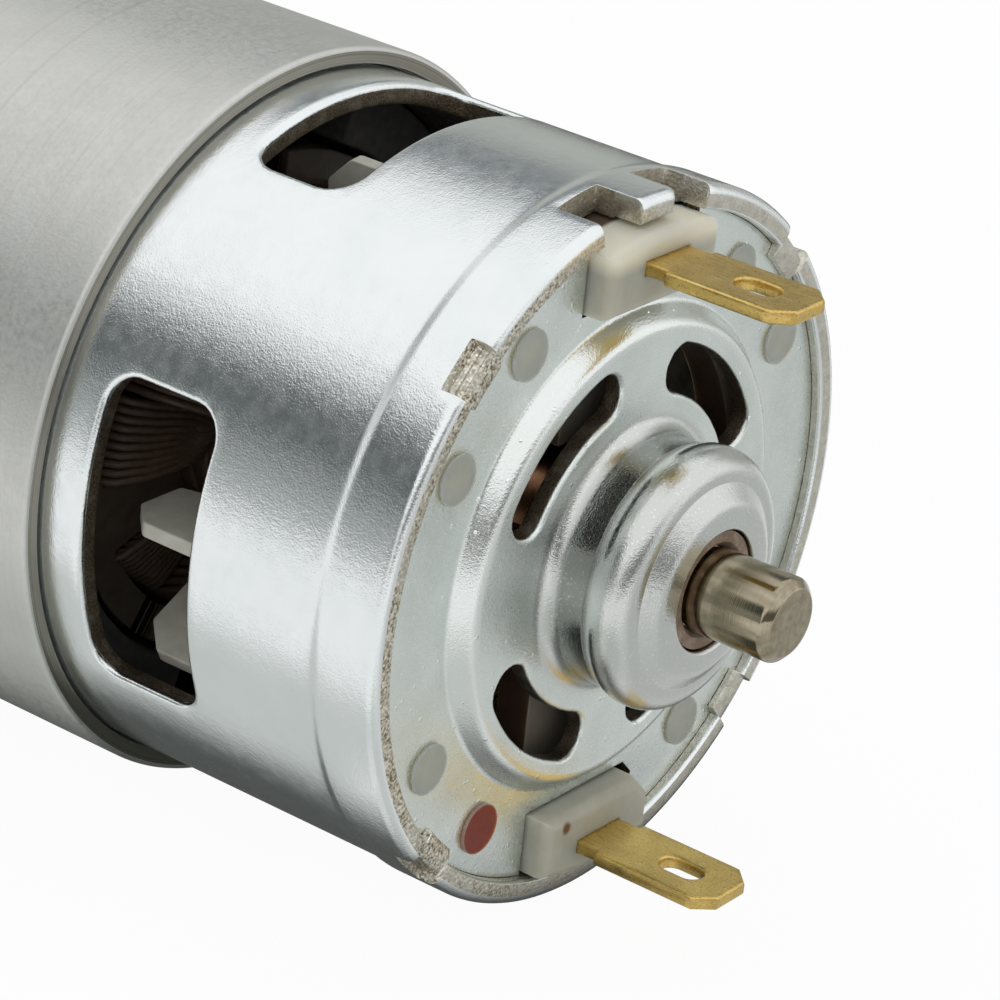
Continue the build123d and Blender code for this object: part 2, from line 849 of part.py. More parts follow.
def brush_base():
    """Nylon ring with two terminal blocks, pads under the brush boxes and staked pins."""
    ring = Circle(base_radius) - Circle(base_radius - base_ring_width)
    half = pad_width / 2
    pad = outline((-half, box_inner), (half, box_inner), (half, block_inner), (-half, block_inner))
    ring += pad + Rot(0, 0, 180) * pad
    base = prism(ring, plate_front, base_front)
    base += terminal_block()
    base += around(terminal_block(block_key), [180.0])
    head_front = plate_rear - pin_head_gap
    for centre in pin_centres():
        base += prism(Pos(*centre) * Circle(pin_radius), head_front, base_front)
        base += prism(Pos(*centre) * Circle(pin_head_radius), head_front - pin_head_height, head_front)
    slot_half = tab_neck_width / 2 + terminal_slot_gap
    slot_low = terminal_inner - terminal_slot_gap
    slot_high = terminal_inner + terminal_thickness + terminal_slot_gap
    slot_reach = (block_rear - overrun, base_front + overrun)
    slot = block((-slot_half, slot_half), slot_reach, (slot_low, slot_high))
    return base - around(slot, (0.0, 180.0))


def terminal():
    """Upper terminal: a tab with a hole, a neck through the block and a foot on the brush box."""
    tip = rear - tab_tip
    shoulder = block_rear - tab_neck_length
    half = tab_width / 2
    neck = tab_neck_width / 2
    strip = outline(
        (-half + tab_corner, tip),
        (half - tab_corner, tip),
        (half, tip + tab_corner),
        (half, shoulder),
        (neck, shoulder),
        (neck, base_front + terminal_foot),
        (-neck, base_front + terminal_foot),
        (-neck, shoulder),
        (-half, shoulder),
        (-half, tip + tab_corner),
    )
    strip -= Pos(0, rear - tab_hole_centre) * Rot(0, 0, 90) * SlotOverall(tab_hole_length, tab_hole_width)
    return extrude(Pos(0, 0, terminal_inner) * strip, amount=terminal_thickness)


def brush():
    """Upper carbon brush with a face that follows the commutator."""
    half = brush_width / 2
    solid = block((-half, half), (brush_rear, brush_front), (0, brush_back))
    return solid - tube(0, brush_face, brush_rear - overrun, brush_front + overrun)


def brush_box():
    """Upper brush box: a sheet-brass channel, closed at its outer end."""
    half = brush_width / 2 + brush_side_gap
    outer_half = half + box_wall
    shell = block((-outer_half, outer_half), (base_front, box_front), (box_inner, terminal_inner))
    room = block(
        (-half, half),
        (box_room_rear, box_front - box_wall),
        (box_inner - overrun, terminal_inner - box_wall),
    )
    return shell - room


def helix_point(turn):
    """Point and direction on the spring's centre line, at a number of turns from its inner end."""
    rise = spring_outer - spring_inner - 2 * spring_wire_radius
    angle = 2 * math.pi * turn
    start = spring_inner + spring_wire_radius
    point = Vector(
        spring_radius * math.cos(angle),
        brush_middle + spring_radius * math.sin(angle),
        start + rise * turn / spring_turns,
    )
    around_step = 2 * math.pi * spring_radius
    heading = Vector(-around_step * math.sin(angle), around_step * math.cos(angle), rise / spring_turns)
    return point, heading.normalized()


def biarc(start, start_heading, end, end_heading):
    """Two arcs that join two points with given headings."""
    span = end - start
    sum_heading = start_heading + end_heading
    lack = 4 - sum_heading.dot(sum_heading)
    along = span.dot(sum_heading)
    reach = (math.sqrt(along**2 + lack * span.dot(span)) - along) / lack
    first = start + start_heading * reach
    second = end - end_heading * reach
    middle = (first + second) * 0.5
    return [
        TangentArc(start, middle, tangent=start_heading),
        TangentArc(middle, end, tangent=second - first),
    ]


def brush_spring():
    """Upper brush spring: a coil of round wire between the brush and the end of its box."""
    arcs = []
    for half_turn in range(2 * spring_turns):
        start, start_heading = helix_point(half_turn / 2)
        end, end_heading = helix_point((half_turn + 1) / 2)
        arcs += biarc(start, start_heading, end, end_heading)
    origin, heading = helix_point(0)
    section = Plane(origin=origin, z_dir=heading) * Circle(spring_wire_radius)
    return sweep(section, path=Wire(arcs))


def pigtail():
    """Upper pigtail: braided lead inside the spring, from the brush to the end of its box."""
    base = Plane(origin=(0, brush_middle, spring_inner), z_dir=(0, 0, 1))
    return extrude(base * Circle(pigtail_radius), amount=spring_outer - spring_inner)


def pair(name, solid):
    """Upper piece and its twin half a turn round the shaft."""
    return {f"{name}_top": solid, f"{name}_bottom": solid.rotate(Axis.Y, 180)}


def pieces():
    """Every piece of the motor by name."""
    found = {
        "motor_can": motor_can(),
        "flux_ring": flux_ring(),
        "magnet_right": magnet(0.0),
        "magnet_left": magnet(180.0),
        "end_bell": end_bell(),
        "rear_bush": rear_bush(),
        "oil_felt": oil_felt(),
        "bush_retainer": bush_retainer(),
        "brush_base": brush_base(),
        "bearing_outer_race": bearing_outer_race(),
        "bearing_shields": Compound(children=bearing_shields()),
        "bearing_cage": bearing_cage(),
        "bearing_balls": Compound(children=bearing_balls()),
        "bearing_inner_race": bearing_inner_race(),
        "shaft": shaft(),
        "front_spacer": front_spacer(),
        "armature_core": armature_core(),
        "insulator_rear": insulator(core_rear, -1),
        "insulator_front": insulator(core_front, 1),
        "commutator_hub": commutator_hub(),
        "thrust_washers": Compound(children=thrust_washers()),
        "cooling_fan": cooling_fan(),
    }
    found.update(pair("magnet_clip", magnet_clip()))
    found.update(pair("terminal", terminal()))
    found.update(pair("brush_box", brush_box()))
    found.update(pair("brush", brush()))
    found.update(pair("brush_spring", brush_spring()))
    found.update(pair("pigtail", pigtail()))
    for index in range(pole_count):
        found[f"coil_{index + 1}"] = coil(index)
        found[f"commutator_bar_{index + 1}"] = commutator_bar(index)
    return found


for name, solid in pieces().items():
    export_step(solid, f"parts/{name}.step")

turn_rise = (spring_outer - spring_inner - 2 * spring_wire_radius) / spring_turns
turn_gap = round(turn_rise - 2 * spring_wire_radius, 3)
print("brush spring: coil radius", spring_radius, "gap between turns", turn_gap)
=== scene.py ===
"""Brushed direct-current motor, lying with its rear end towards the viewer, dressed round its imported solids."""

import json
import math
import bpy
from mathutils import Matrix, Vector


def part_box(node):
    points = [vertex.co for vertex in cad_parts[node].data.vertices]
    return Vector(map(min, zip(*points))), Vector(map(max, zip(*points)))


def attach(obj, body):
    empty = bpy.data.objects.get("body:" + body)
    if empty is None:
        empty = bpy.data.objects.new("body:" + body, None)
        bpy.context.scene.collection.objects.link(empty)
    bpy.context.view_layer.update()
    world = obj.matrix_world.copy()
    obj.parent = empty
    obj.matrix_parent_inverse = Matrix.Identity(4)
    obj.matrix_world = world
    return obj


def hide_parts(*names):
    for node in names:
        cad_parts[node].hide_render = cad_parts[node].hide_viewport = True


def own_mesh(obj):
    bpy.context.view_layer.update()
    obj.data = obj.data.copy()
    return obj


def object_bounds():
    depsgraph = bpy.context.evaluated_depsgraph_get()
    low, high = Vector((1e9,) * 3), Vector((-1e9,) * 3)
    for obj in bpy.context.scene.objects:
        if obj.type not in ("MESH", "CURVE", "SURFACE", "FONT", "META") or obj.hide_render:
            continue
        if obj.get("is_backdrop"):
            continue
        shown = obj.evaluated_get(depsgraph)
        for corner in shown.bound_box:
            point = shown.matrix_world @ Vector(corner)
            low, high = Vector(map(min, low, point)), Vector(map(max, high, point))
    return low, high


bl_info = {
    "name": "Brushed motor pieces",
    "version": (1, 0, 0),
    "blender": (4, 5, 0),
    "location": "View3D > Sidebar > Motor",
    "description": "Builds the can, flux ring, end plate, terminals and rotor of a small brushed motor",
    "category": "Add Mesh",
}

import bmesh
import bpy
from mathutils import Matrix, Vector, noise

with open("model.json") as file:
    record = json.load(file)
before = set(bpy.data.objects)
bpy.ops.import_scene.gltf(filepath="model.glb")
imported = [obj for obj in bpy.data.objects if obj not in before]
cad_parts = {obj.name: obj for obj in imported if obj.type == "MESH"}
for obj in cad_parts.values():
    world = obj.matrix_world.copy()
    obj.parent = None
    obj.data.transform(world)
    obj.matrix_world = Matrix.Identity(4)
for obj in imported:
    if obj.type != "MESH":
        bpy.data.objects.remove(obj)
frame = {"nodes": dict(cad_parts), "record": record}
cad_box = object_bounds()

# Lengths in the builders are millimetres; meshes are metres
MM = 0.001
# Station of the can's rear rim; "reach" counts forward from it
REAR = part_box("motor_can")[0].y / MM
# Finish index of each face: plated outside, punched wall, dull inside, sheared rim
PLATED, RAW, INSIDE, SHEARED = range(4)
# Height of the floor, a hair under the motor
FLOOR = cad_box[0][2] - 0.02 * MM
# Rounding of the can's front corner
FRONT_ROUND = 1.8
# A round end keeps this short a straight run, so that its outline has four sides
SHORT_RUN = 0.001
# Shares of a side's points that go into its corners, for a round hole
ROUND_SHARES = (0.49, 0.49)


def length(name, description, millimetres):
    """Length property with its default in millimetres."""
    return bpy.props.FloatProperty(
        name=name, description=description, default=millimetres * MM, min=0.0,
        subtype="DISTANCE", unit="LENGTH", precision=5,
    )


def tint(name, description, red, green, blue):
    """Colour property."""
    return bpy.props.FloatVectorProperty(
        name=name, description=description, default=(red, green, blue), size=3, min=0.0, max=1.0,
        subtype="COLOR",
    )


def half_width(node):
    """Half of a node's width in millimetres."""
    low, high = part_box(node)
    return (high.x - low.x) / 2 / MM


class MotorSizes(bpy.types.PropertyGroup):
    """Lengths of the pieces that the scene builds."""

    rim_radius: length("Rim radius", "Outer radius of the flared rear rim", half_width("motor_can"))
    can_wall: length("Can wall", "Sheet thickness of the can", 1.4)
    rim_flare: length("Rim flare", "How far the rear rim stands out from the can", 0.2)
    rim_wall: length("Rim wall", "Wall at the rear rim", 1.45)
    rim_round: length("Rim rounding", "Rounding of the rear rim's outer edge", 0.55)
    window_reach: length("Window reach", "Rear edge of the vent windows from the rim", 13.5)
    window_length: length("Window length", "Vent windows along the shaft", 7.7)
    window_trim: length("Window trim", "How much shorter the windows on the terminal sides are", 0.9)
    window_width: length("Window width", "Vent windows across", 17.9)
    window_corner: length("Window corner", "Corner radius of the vent windows", 1.8)
    stake_width: length("Stake width", "Width of the punch marks on the rim", 3.2)
    stake_dent: length("Stake dent", "Depth of the punch marks", 0.55)
    stake_reach: length("Stake reach", "How far the punched rim covers the end plate", 0.75)
    notch_depth: length("Notch depth", "Depth of the two rim notches", 3.2)
    boss_radius: length("Boss radius", "Outer radius of the front boss", 8.75)
    boss_height: length("Boss height", "Height of the front boss", 4.6)
    ring_radius: length("Ring radius", "Outer radius of the flux ring", half_width("flux_ring"))
    ring_thickness: length("Ring thickness", "Wall of the flux ring", 1.2)
    ring_seam: length("Ring seam", "Gap of the flux ring's butt seam", 0.4)
    plate_radius: length("Plate radius", "Outer radius of the end plate", half_width("end_bell"))
    plate_thickness: length("Plate thickness", "Sheet thickness of the end plate", 1.2)
    lip: length("Punched lip", "Rounding of the punched edges", 0.32)
    shaft_radius: length("Shaft radius", "Radius of the ground shaft", half_width("shaft"))
    tab_width: length("Tab width", "Width of the terminal tabs", half_width("terminal_top") * 2)
    wire: length("Wire", "Diameter of the winding wire", 0.56)


class MotorColours(bpy.types.PropertyGroup):
    """Colours of the finishes."""

    zinc: tint("Zinc", "Bright zinc on the can", 0.87, 0.90, 0.905)
    plate: tint("End plate", "Pale satin zinc on the end plate", 0.82, 0.875, 0.855)
    raw_steel: tint("Cut steel", "Bare steel on punched walls", 0.26, 0.215, 0.155)
    rim_steel: tint("Rim steel", "Sheared end of the can's wall", 0.66, 0.62, 0.52)
    inside: tint("Inside", "Dull inside of the can and the end plate", 0.24, 0.23, 0.20)
    ring_steel: tint("Ring steel", "Satin steel of the flux ring", 0.70, 0.705, 0.68)
    ring_end: tint("Ring end", "Turned ends of the flux ring", 0.30, 0.285, 0.24)
    ground_steel: tint("Ground steel", "Ground shaft", 0.45, 0.40, 0.295)
    bronze: tint("Bronze", "Sintered bush", 0.27, 0.20, 0.135)
    brass: tint("Brass", "Terminal tabs", 0.76, 0.54, 0.17)
    nylon: tint("Nylon", "Brush base", 0.48, 0.48, 0.405)
    red_dot: tint("Red dot", "Painted pin", 0.22, 0.02, 0.005)
    fan: tint("Fan", "Cooling fan", 0.54, 0.535, 0.47)
    copper: tint("Copper", "Commutator", 0.80, 0.42, 0.24)
    # Painted shade: the enamel and insulation colours are darkened to stand for the shade inside the can.
    enamel: tint("Enamel", "Winding wire", 0.10, 0.064, 0.042)
    insulation: tint("Insulation", "End insulators", 0.10, 0.077, 0.057)
    ferrite: tint("Ferrite", "Magnets", 0.075, 0.075, 0.08)
    backdrop: tint("Backdrop", "Floor and background", 1.0, 1.0, 1.0)


def sizes():
    """Sizes of the pieces in millimetres."""
    group = bpy.context.scene.motor_sizes
    return {name: getattr(group, name) / MM for name in MotorSizes.__annotations__}


def colour(tone):
    """Plain tuple of a colour, given by its property's name or by its values."""
    return tuple(getattr(bpy.context.scene.motor_colours, tone) if isinstance(tone, str) else tone)


def add_object(name, data):
    """New object of some data, linked to the scene."""
    thing = bpy.data.objects.new(name, data)
    bpy.context.scene.collection.objects.link(thing)
    return thing


def add_node(tree, kind, inputs=None, **settings):
    """New node with its settings, and its inputs set or linked."""
    node = tree.nodes.new(kind)
    for key, value in settings.items():
        setattr(node, key, value)
    for key, value in (inputs or {}).items():
        if isinstance(value, bpy.types.NodeSocket):
            tree.links.new(value, node.inputs[key])
        else:
            node.inputs[key].default_value = value
    return node


def calc(tree, operation, first, second=0.0):
    """Arithmetic on two values."""
    return add_node(tree, "ShaderNodeMath", {0: first, 1: second}, operation=operation).outputs[0]


class Finish:
    """A procedural material: one shader with textures on Object coordinates."""

    def __init__(self, name, base, metallic, roughness, **shader):
        self.material = bpy.data.materials.new(name)
        self.material.use_nodes = True
        self.tree = self.material.node_tree
        self.shader = self.tree.nodes["Principled BSDF"]
        self.shade = (*colour(base), 1.0)
        values = {"Base Color": self.shade, "Metallic": metallic, "Roughness": roughness}
        values.update({key.replace("_", " "): value for key, value in shader.items()})
        for key, value in values.items():
            self.shader.inputs[key].default_value = value
        self.place = self.node("ShaderNodeTexCoord").outputs["Object"]
        self.normal = None

    def node(self, kind, inputs=None, **settings):
        """New node in the finish's tree."""
        return add_node(self.tree, kind, inputs, **settings)

    def sum(self, operation, first, second=0.0):
        """Arithmetic on two values."""
        return calc(self.tree, operation, first, second)

    def times(self, first, second):
        """Product of two values."""
        return self.sum("MULTIPLY", first, second)

    def away(self, value, middle):
        """How far a value is from another one."""
        return self.sum("ABSOLUTE", self.sum("SUBTRACT", value, middle))

    def grain(self, size, detail=2.0, along=1.0, place=None):
        """Noise whose features are about a size in millimetres, scaled along the shaft."""
        vector = place or self.place
        if along != 1.0:
            vector = self.node("ShaderNodeMapping", {"Vector": vector, "Scale": (1.0, along, 1.0)}).outputs[0]
        inputs = {"Vector": vector, "Scale": 1.0 / (size * MM), "Detail": detail}
        return self.node("ShaderNodeTexNoise", inputs).outputs["Fac"]

    def lines(self, size, detail, along=1.0):
        """Noise in lines round the shaft of a turned piece."""
        turned = self.node("ShaderNodeCombineXYZ", {0: self.radius(), 1: self.axis(1)}).outputs[0]
        return self.grain(size, detail, along, turned)

    def span(self, value, low, high, first=0.0, last=1.0):
        """Value between two limits, spread over a new range."""
        inputs = {"Value": value, "From Min": low, "From Max": high, "To Min": first, "To Max": last}
        return self.node("ShaderNodeMapRange", inputs).outputs[0]

    def axis(self, index):
        """One of the Object coordinates."""
        return self.node("ShaderNodeSeparateXYZ", {0: self.place}).outputs[index]

    def radius(self):
        """Distance from the shaft axis."""
        squares = [self.times(self.axis(index), self.axis(index)) for index in (0, 2)]
        return self.sum("SQRT", self.sum("ADD", *squares))

    def near(self, centre, radius, soft):
        """One inside a ball about a point in millimetres, nought outside it."""
        inputs = {0: self.place, 1: [value * MM for value in centre]}
        apart = self.node("ShaderNodeVectorMath", inputs, operation="DISTANCE").outputs["Value"]
        return self.span(apart, (radius + soft) * MM, (radius - soft) * MM)

    def blend(self, share, first, second):
        """Colour between two colours."""
        inputs = {0: share}
        for index, value in ((6, first), (7, second)):
            inputs[index] = value if isinstance(value, bpy.types.NodeSocket) else (*value[:3], 1.0)
        return self.node("ShaderNodeMix", inputs, data_type="RGBA").outputs[2]

    def paint(self, share, other):
        """Covers the shade so far with another one by a share."""
        self.shade = self.blend(share, self.shade, other)

    def stain(self, value, other, low=0.35, high=0.7, most=1.0):
        """Covers the shade so far with another one where a value runs between two limits."""
        self.paint(self.span(value, low, high, 0.0, most), other)

    def rough(self, value, first, last, low=0.3, high=0.7):
        """Lets the roughness follow a value between two limits."""
        self.set("Roughness", self.span(value, low, high, first, last))

    def bump(self, height, depth):
        """Adds a relief of a depth in millimetres."""
        inputs = {"Height": height, "Distance": depth * MM}
        if self.normal:
            inputs["Normal"] = self.normal
        self.normal = self.node("ShaderNodeBump", inputs).outputs[0]
        self.set("Normal", self.normal)

    def set(self, socket, value):
        """Drives one of the shader's sockets."""
        self.tree.links.new(value, self.shader.inputs[socket])

    def done(self):
        """The material, in its final shade."""
        self.set("Base Color", self.shade)
        return self.material


def bright_zinc():
    """Zinc on drawn sheet: mirror-like with fine orange peel and faint clouds."""
    finish = Finish("bright_zinc", "zinc", 1.0, 0.16)
    peel = finish.grain(0.11)
    finish.stain(finish.grain(4.5, 3.0), (0.82, 0.865, 0.87))
    finish.stain(peel, (1.0, 1.0, 1.0), 0.62, 0.8, 0.35)
    finish.rough(finish.grain(0.9, 3.0), 0.15, 0.26, 0.3, 0.75)
    finish.bump(finish.grain(1.6), 0.006)
    finish.bump(finish.grain(0.35, 1.0), 0.009)
    finish.bump(peel, 0.014)
    return finish.done()


def satin_zinc():
    """Paler zinc on the pressed end plate: sparkling grains, golden stains, shiny folds, a bright boss and
    painted shade in the boss's narrow neck.
    """
    finish = Finish("satin_zinc", "plate", 1.0, 0.4)
    cloud = finish.grain(3.0, 3.0)
    grains = finish.grain(0.16)
    finish.stain(cloud, (0.745, 0.80, 0.775))
    for x, reach, z, size in ((-9.5, -0.3, 10.4, 2.4), (-4.0, -0.4, -12.8, 2.6)):
        spot = finish.times(finish.near((x, REAR + reach, z), size, 1.6), finish.span(cloud, 0.4, 0.62))
        finish.paint(finish.times(spot, 0.16), (0.72, 0.64, 0.46))
    radius = finish.radius()
    boss = finish.span(radius, 8.5 * MM, 8.1 * MM)
    fold = finish.span(finish.away(radius, 13.75 * MM), 0.95 * MM, 0.5 * MM, 0.0, 0.75)
    shine = finish.sum("MAXIMUM", boss, fold)
    finish.paint(shine, (0.86, 0.89, 0.88))
    finish.paint(boss, (0.66, 0.68, 0.66))
    # Painted shade: the boss's narrow, recessed neck is painted darker.
    slim = finish.span(radius, 7.75 * MM, 7.45 * MM)
    neck = finish.span(finish.away(finish.axis(1), (REAR - 2.3) * MM), 1.5 * MM, 0.8 * MM)
    finish.paint(finish.times(slim, neck), (0.33, 0.335, 0.315))
    cells = finish.node("ShaderNodeTexVoronoi", {"Vector": finish.place, "Scale": 1.0 / (1.1 * MM)})
    speck = finish.span(cells.outputs["Distance"], 0.13, 0.07)
    speck = finish.times(speck, finish.span(boss, 1.0, 0.0))
    finish.paint(speck, (0.98, 1.0, 0.99))
    finish.stain(grains, (0.95, 0.97, 0.96), 0.62, 0.76, 0.6)
    dull = finish.span(shine, 0.0, 1.0, 1.0, 0.5)
    finish.set("Roughness", finish.times(finish.span(grains, 0.35, 0.75, 0.40, 0.22), dull))
    finish.bump(finish.times(finish.grain(0.9), dull), 0.016)
    finish.bump(speck, 0.03)
    finish.bump(finish.times(finish.grain(0.09, 1.0), shine), 0.015)
    finish.bump(finish.times(grains, dull), 0.02)
    return finish.done()


def cut_steel():
    """Bare steel of a punched wall: brown, granular and dull."""
    finish = Finish("cut_steel", "raw_steel", 1.0, 0.5)
    grains = finish.grain(0.14, 3.0)
    finish.shade = finish.blend(finish.span(grains, 0.38, 0.62), (0.12, 0.095, 0.065), finish.shade)
    finish.stain(finish.grain(1.2), (0.46, 0.43, 0.37), 0.5, 0.75, 0.6)
    finish.rough(grains, 0.6, 0.36)
    finish.bump(grains, 0.05)
    return finish.done()


def sheared_rim():
    """Sheared end of the can's wall: grey-beige, with bright and dark grains, smoother on one side."""
    finish = Finish("sheared_rim", "rim_steel", 1.0, 0.42)
    grains = finish.grain(0.17, 3.0)
    finish.shade = finish.blend(finish.span(grains, 0.36, 0.52), (0.20, 0.165, 0.11), finish.shade)
    finish.stain(finish.grain(2.2), (0.64, 0.62, 0.55), 0.45, 0.62, 0.7)
    finish.stain(grains, (0.95, 0.93, 0.86), 0.56, 0.66)
    smooth = finish.span(finish.axis(0), -13.0 * MM, 3.0 * MM)
    cloud = finish.span(finish.grain(0.6, 3.0), 0.35, 0.65)
    even = finish.blend(cloud, (0.56, 0.54, 0.47), (0.70, 0.68, 0.61))
    finish.paint(finish.times(smooth, 0.85), even)
    finish.rough(grains, 0.52, 0.26)
    finish.bump(grains, 0.045)
    return finish.done()


def dull_inside():
    """Inside of the drawn sheet: darkened, oily zinc."""
    finish = Finish("dull_inside", "inside", 1.0, 0.5)
    finish.stain(finish.grain(1.6, 3.0), (0.12, 0.115, 0.10))
    finish.rough(finish.grain(0.4), 0.42, 0.6)
    finish.bump(finish.grain(0.25), 0.015)
    return finish.done()


def satin_ring():
    """Satin steel of the flux ring."""
    finish = Finish("satin_ring", "ring_steel", 1.0, 0.38)
    finish.stain(finish.grain(2.6, 4.0), (0.665, 0.67, 0.64))
    finish.stain(finish.lines(0.09, 2.0, 0.3), (0.40, 0.39, 0.35), 0.55, 0.75, 0.2)
    finish.rough(finish.grain(0.35, 3.0), 0.42, 0.56)
    finish.bump(finish.grain(0.22, 3.0), 0.016)
    return finish.done()


def turned_face():
    """Cut ends of the flux ring: darker steel with lines round the shaft."""
    finish = Finish("turned_face", "ring_end", 1.0, 0.34)
    lines = finish.lines(0.12, 3.0, 0.3)
    finish.stain(finish.grain(1.8, 3.0), (0.30, 0.29, 0.25))
    finish.stain(lines, (0.14, 0.13, 0.105), 0.45, 0.68)
    finish.rough(lines, 0.26, 0.44)
    finish.bump(lines, 0.025)
    return finish.done()


def ground_shaft():
    """Ground steel, oiled and a little brown, with fine lines round the shaft and darker streaks along it that
    are partly its own tone and partly painted reflection bands.
    """
    finish = Finish("ground_shaft", "ground_steel", 1.0, 0.2)
    lines = finish.lines(0.08, 2.0)
    cloud = finish.grain(0.5, 3.0, 0.14)
    # The darker streaks along the shaft are partly the steel's own tone and partly painted reflection bands.
    finish.stain(cloud, (0.32, 0.275, 0.195), 0.35, 0.65)
    finish.stain(lines, (0.22, 0.19, 0.135), 0.52, 0.7, 0.3)
    finish.rough(cloud, 0.08, 0.15)
    finish.bump(lines, 0.003)
    finish.bump(cloud, 0.004)
    return finish.done()


def dull_bronze():
    """Sintered bronze: matte, pink-brown and porous."""
    finish = Finish("dull_bronze", "bronze", 0.55, 0.55)
    pores = finish.grain(0.1, 3.0)
    finish.stain(finish.grain(0.7), (0.50, 0.37, 0.31), 0.4)
    finish.stain(pores, (0.2, 0.12, 0.09), 0.55, 0.72)
    finish.bump(pores, 0.02)
    return finish.done()


def tab_brass():
    """Rolled brass with a grain along the tab and dark specks."""
    finish = Finish("tab_brass", "brass", 1.0, 0.36)
    grain = finish.grain(0.16, 3.0, 0.12)
    speck = finish.grain(0.13)
    finish.stain(finish.grain(1.8, 3.0), (0.66, 0.46, 0.15), 0.38, 0.66)
    finish.stain(speck, (0.40, 0.25, 0.06), 0.56, 0.68, 0.7)
    finish.stain(grain, (0.95, 0.78, 0.36), 0.5, 0.72, 0.4)
    finish.rough(grain, 0.24, 0.4)
    finish.bump(grain, 0.008)
    finish.bump(speck, 0.018)
    return finish.done()


def base_nylon():
    """Natural nylon, a little see-through: a painted pin, a stain, a top painted paler as painted light and the
    part inside the can painted dark brown as painted shade.
    """
    finish = Finish("base_nylon", "nylon", 0.0, 0.42, Subsurface_Weight=0.85, Subsurface_Scale=0.003,
                    Subsurface_Radius=(1.0, 0.8, 0.55))
    finish.stain(finish.grain(1.4, 3.0), (0.43, 0.43, 0.36))
    finish.paint(finish.near((-3.3, REAR - 1.0, -16.0), 0.35, 0.12), (0.16, 0.07, 0.03))
    finish.paint(finish.near(polar(17.2, 236.0, REAR + 0.45), 1.5, 0.06), colour("red_dot"))
    # Painted light: the upper block's top is painted paler, though it lies in the rim's shade.
    finish.stain(finish.axis(2), (0.86, 0.81, 0.67), 17.7 * MM, 18.6 * MM, 0.8)
    # Painted shade: the part of the base inside the can is painted dark brown, where little light reaches.
    finish.stain(finish.axis(1), (0.085, 0.05, 0.034), (REAR + 1.7) * MM, (REAR + 2.0) * MM)
    finish.rough(finish.grain(0.5), 0.36, 0.5)
    finish.bump(finish.grain(0.25), 0.01)
    return finish.done()


def worn_copper():
    """Commutator copper with a browned track under the brushes."""
    finish = Finish("worn_copper", "copper", 1.0, 0.3)
    lines = finish.lines(0.1, 3.0)
    track = finish.span(finish.away(finish.axis(1), (REAR + 7.2) * MM), 2.75 * MM, 2.45 * MM)
    finish.stain(finish.grain(0.5, 3.0), (0.62, 0.30, 0.16))
    finish.paint(finish.times(track, 0.75), (0.24, 0.12, 0.075))
    finish.stain(lines, (0.20, 0.09, 0.05), 0.5, 0.7, 0.35)
    finish.rough(lines, 0.22, 0.4)
    finish.bump(lines, 0.008)
    return finish.done()


def stacked_core():
    """Dark oiled laminations, half a millimetre each."""
    finish = Finish("stacked_core", (0.15, 0.14, 0.125), 1.0, 0.45)
    wave = finish.sum("FRACT", finish.sum("DIVIDE", finish.axis(1), 0.5 * MM))
    seam = finish.span(finish.away(wave, 0.5), 0.36, 0.48)
    finish.stain(finish.grain(0.8, 3.0), (0.17, 0.125, 0.085), 0.4)
    finish.paint(seam, (0.03, 0.027, 0.024))
    finish.bump(finish.sum("SUBTRACT", 1.0, seam), 0.04)
    return finish.done()


def moulded(name, base, second, roughness, size):
    """Moulded or pressed stuff with faint clouds and a fine texture."""
    finish = Finish(name, base, 0.0, roughness)
    finish.stain(finish.grain(size, 3.0), second)
    finish.bump(finish.grain(0.2), 0.012)
    return finish.done()


def metal(name, base, second, roughness, size):
    """Bare metal with a grain between two shades."""
    finish = Finish(name, base, 1.0, roughness)
    grain = finish.grain(size, 3.0)
    finish.stain(grain, second)
    finish.rough(grain, roughness * 0.8, roughness * 1.25)
    finish.bump(grain, 0.008)
    return finish.done()


# Finishes with a maker of their own name
MAKERS = {maker.__name__: maker for maker in (
    bright_zinc, satin_zinc, cut_steel, sheared_rim, dull_inside, satin_ring, turned_face, ground_shaft,
    dull_bronze, tab_brass, base_nylon, worn_copper, stacked_core,
)}
# Plainer finishes: maker, base colour, second shade, roughness, size of the clouds or grain
PLAIN = {
    "fan_nylon": (moulded, "fan", (0.46, 0.455, 0.39), 0.45, 1.0),
    # Painted shade: insulation and enamel_wire use darkened colours that stand for the shade inside the can.
    "insulation": (moulded, "insulation", (0.07, 0.053, 0.04), 0.4, 1.0),
    "phenolic": (moulded, (0.10, 0.055, 0.035), (0.15, 0.08, 0.05), 0.5, 1.0),
    "ferrite": (moulded, "ferrite", (0.11, 0.105, 0.1), 0.7, 0.5),
    "carbon": (moulded, (0.03, 0.03, 0.032), (0.05, 0.05, 0.05), 0.6, 0.4),
    "felt": (moulded, (0.40, 0.35, 0.27), (0.30, 0.25, 0.18), 0.95, 0.3),
    "enamel_wire": (moulded, "enamel", (0.075, 0.05, 0.034), 0.45, 0.5),
    "copper": (metal, "copper", (0.62, 0.30, 0.16), 0.3, 0.3),
    "bearing_steel": (metal, (0.72, 0.72, 0.73), (0.6, 0.6, 0.61), 0.2, 0.6),
    "shield_steel": (metal, (0.55, 0.55, 0.55), (0.45, 0.45, 0.44), 0.35, 0.5),
    "spring_steel": (metal, (0.5, 0.49, 0.47), (0.38, 0.37, 0.35), 0.3, 0.3),
}
coats = {}


def coat(name):
    """Material of a finish, made when it is first asked for."""
    if name not in coats:
        if name in PLAIN:
            maker, *values = PLAIN[name]
            coats[name] = maker(name, *values)
        else:
            coats[name] = MAKERS[name]()
    return coats[name]


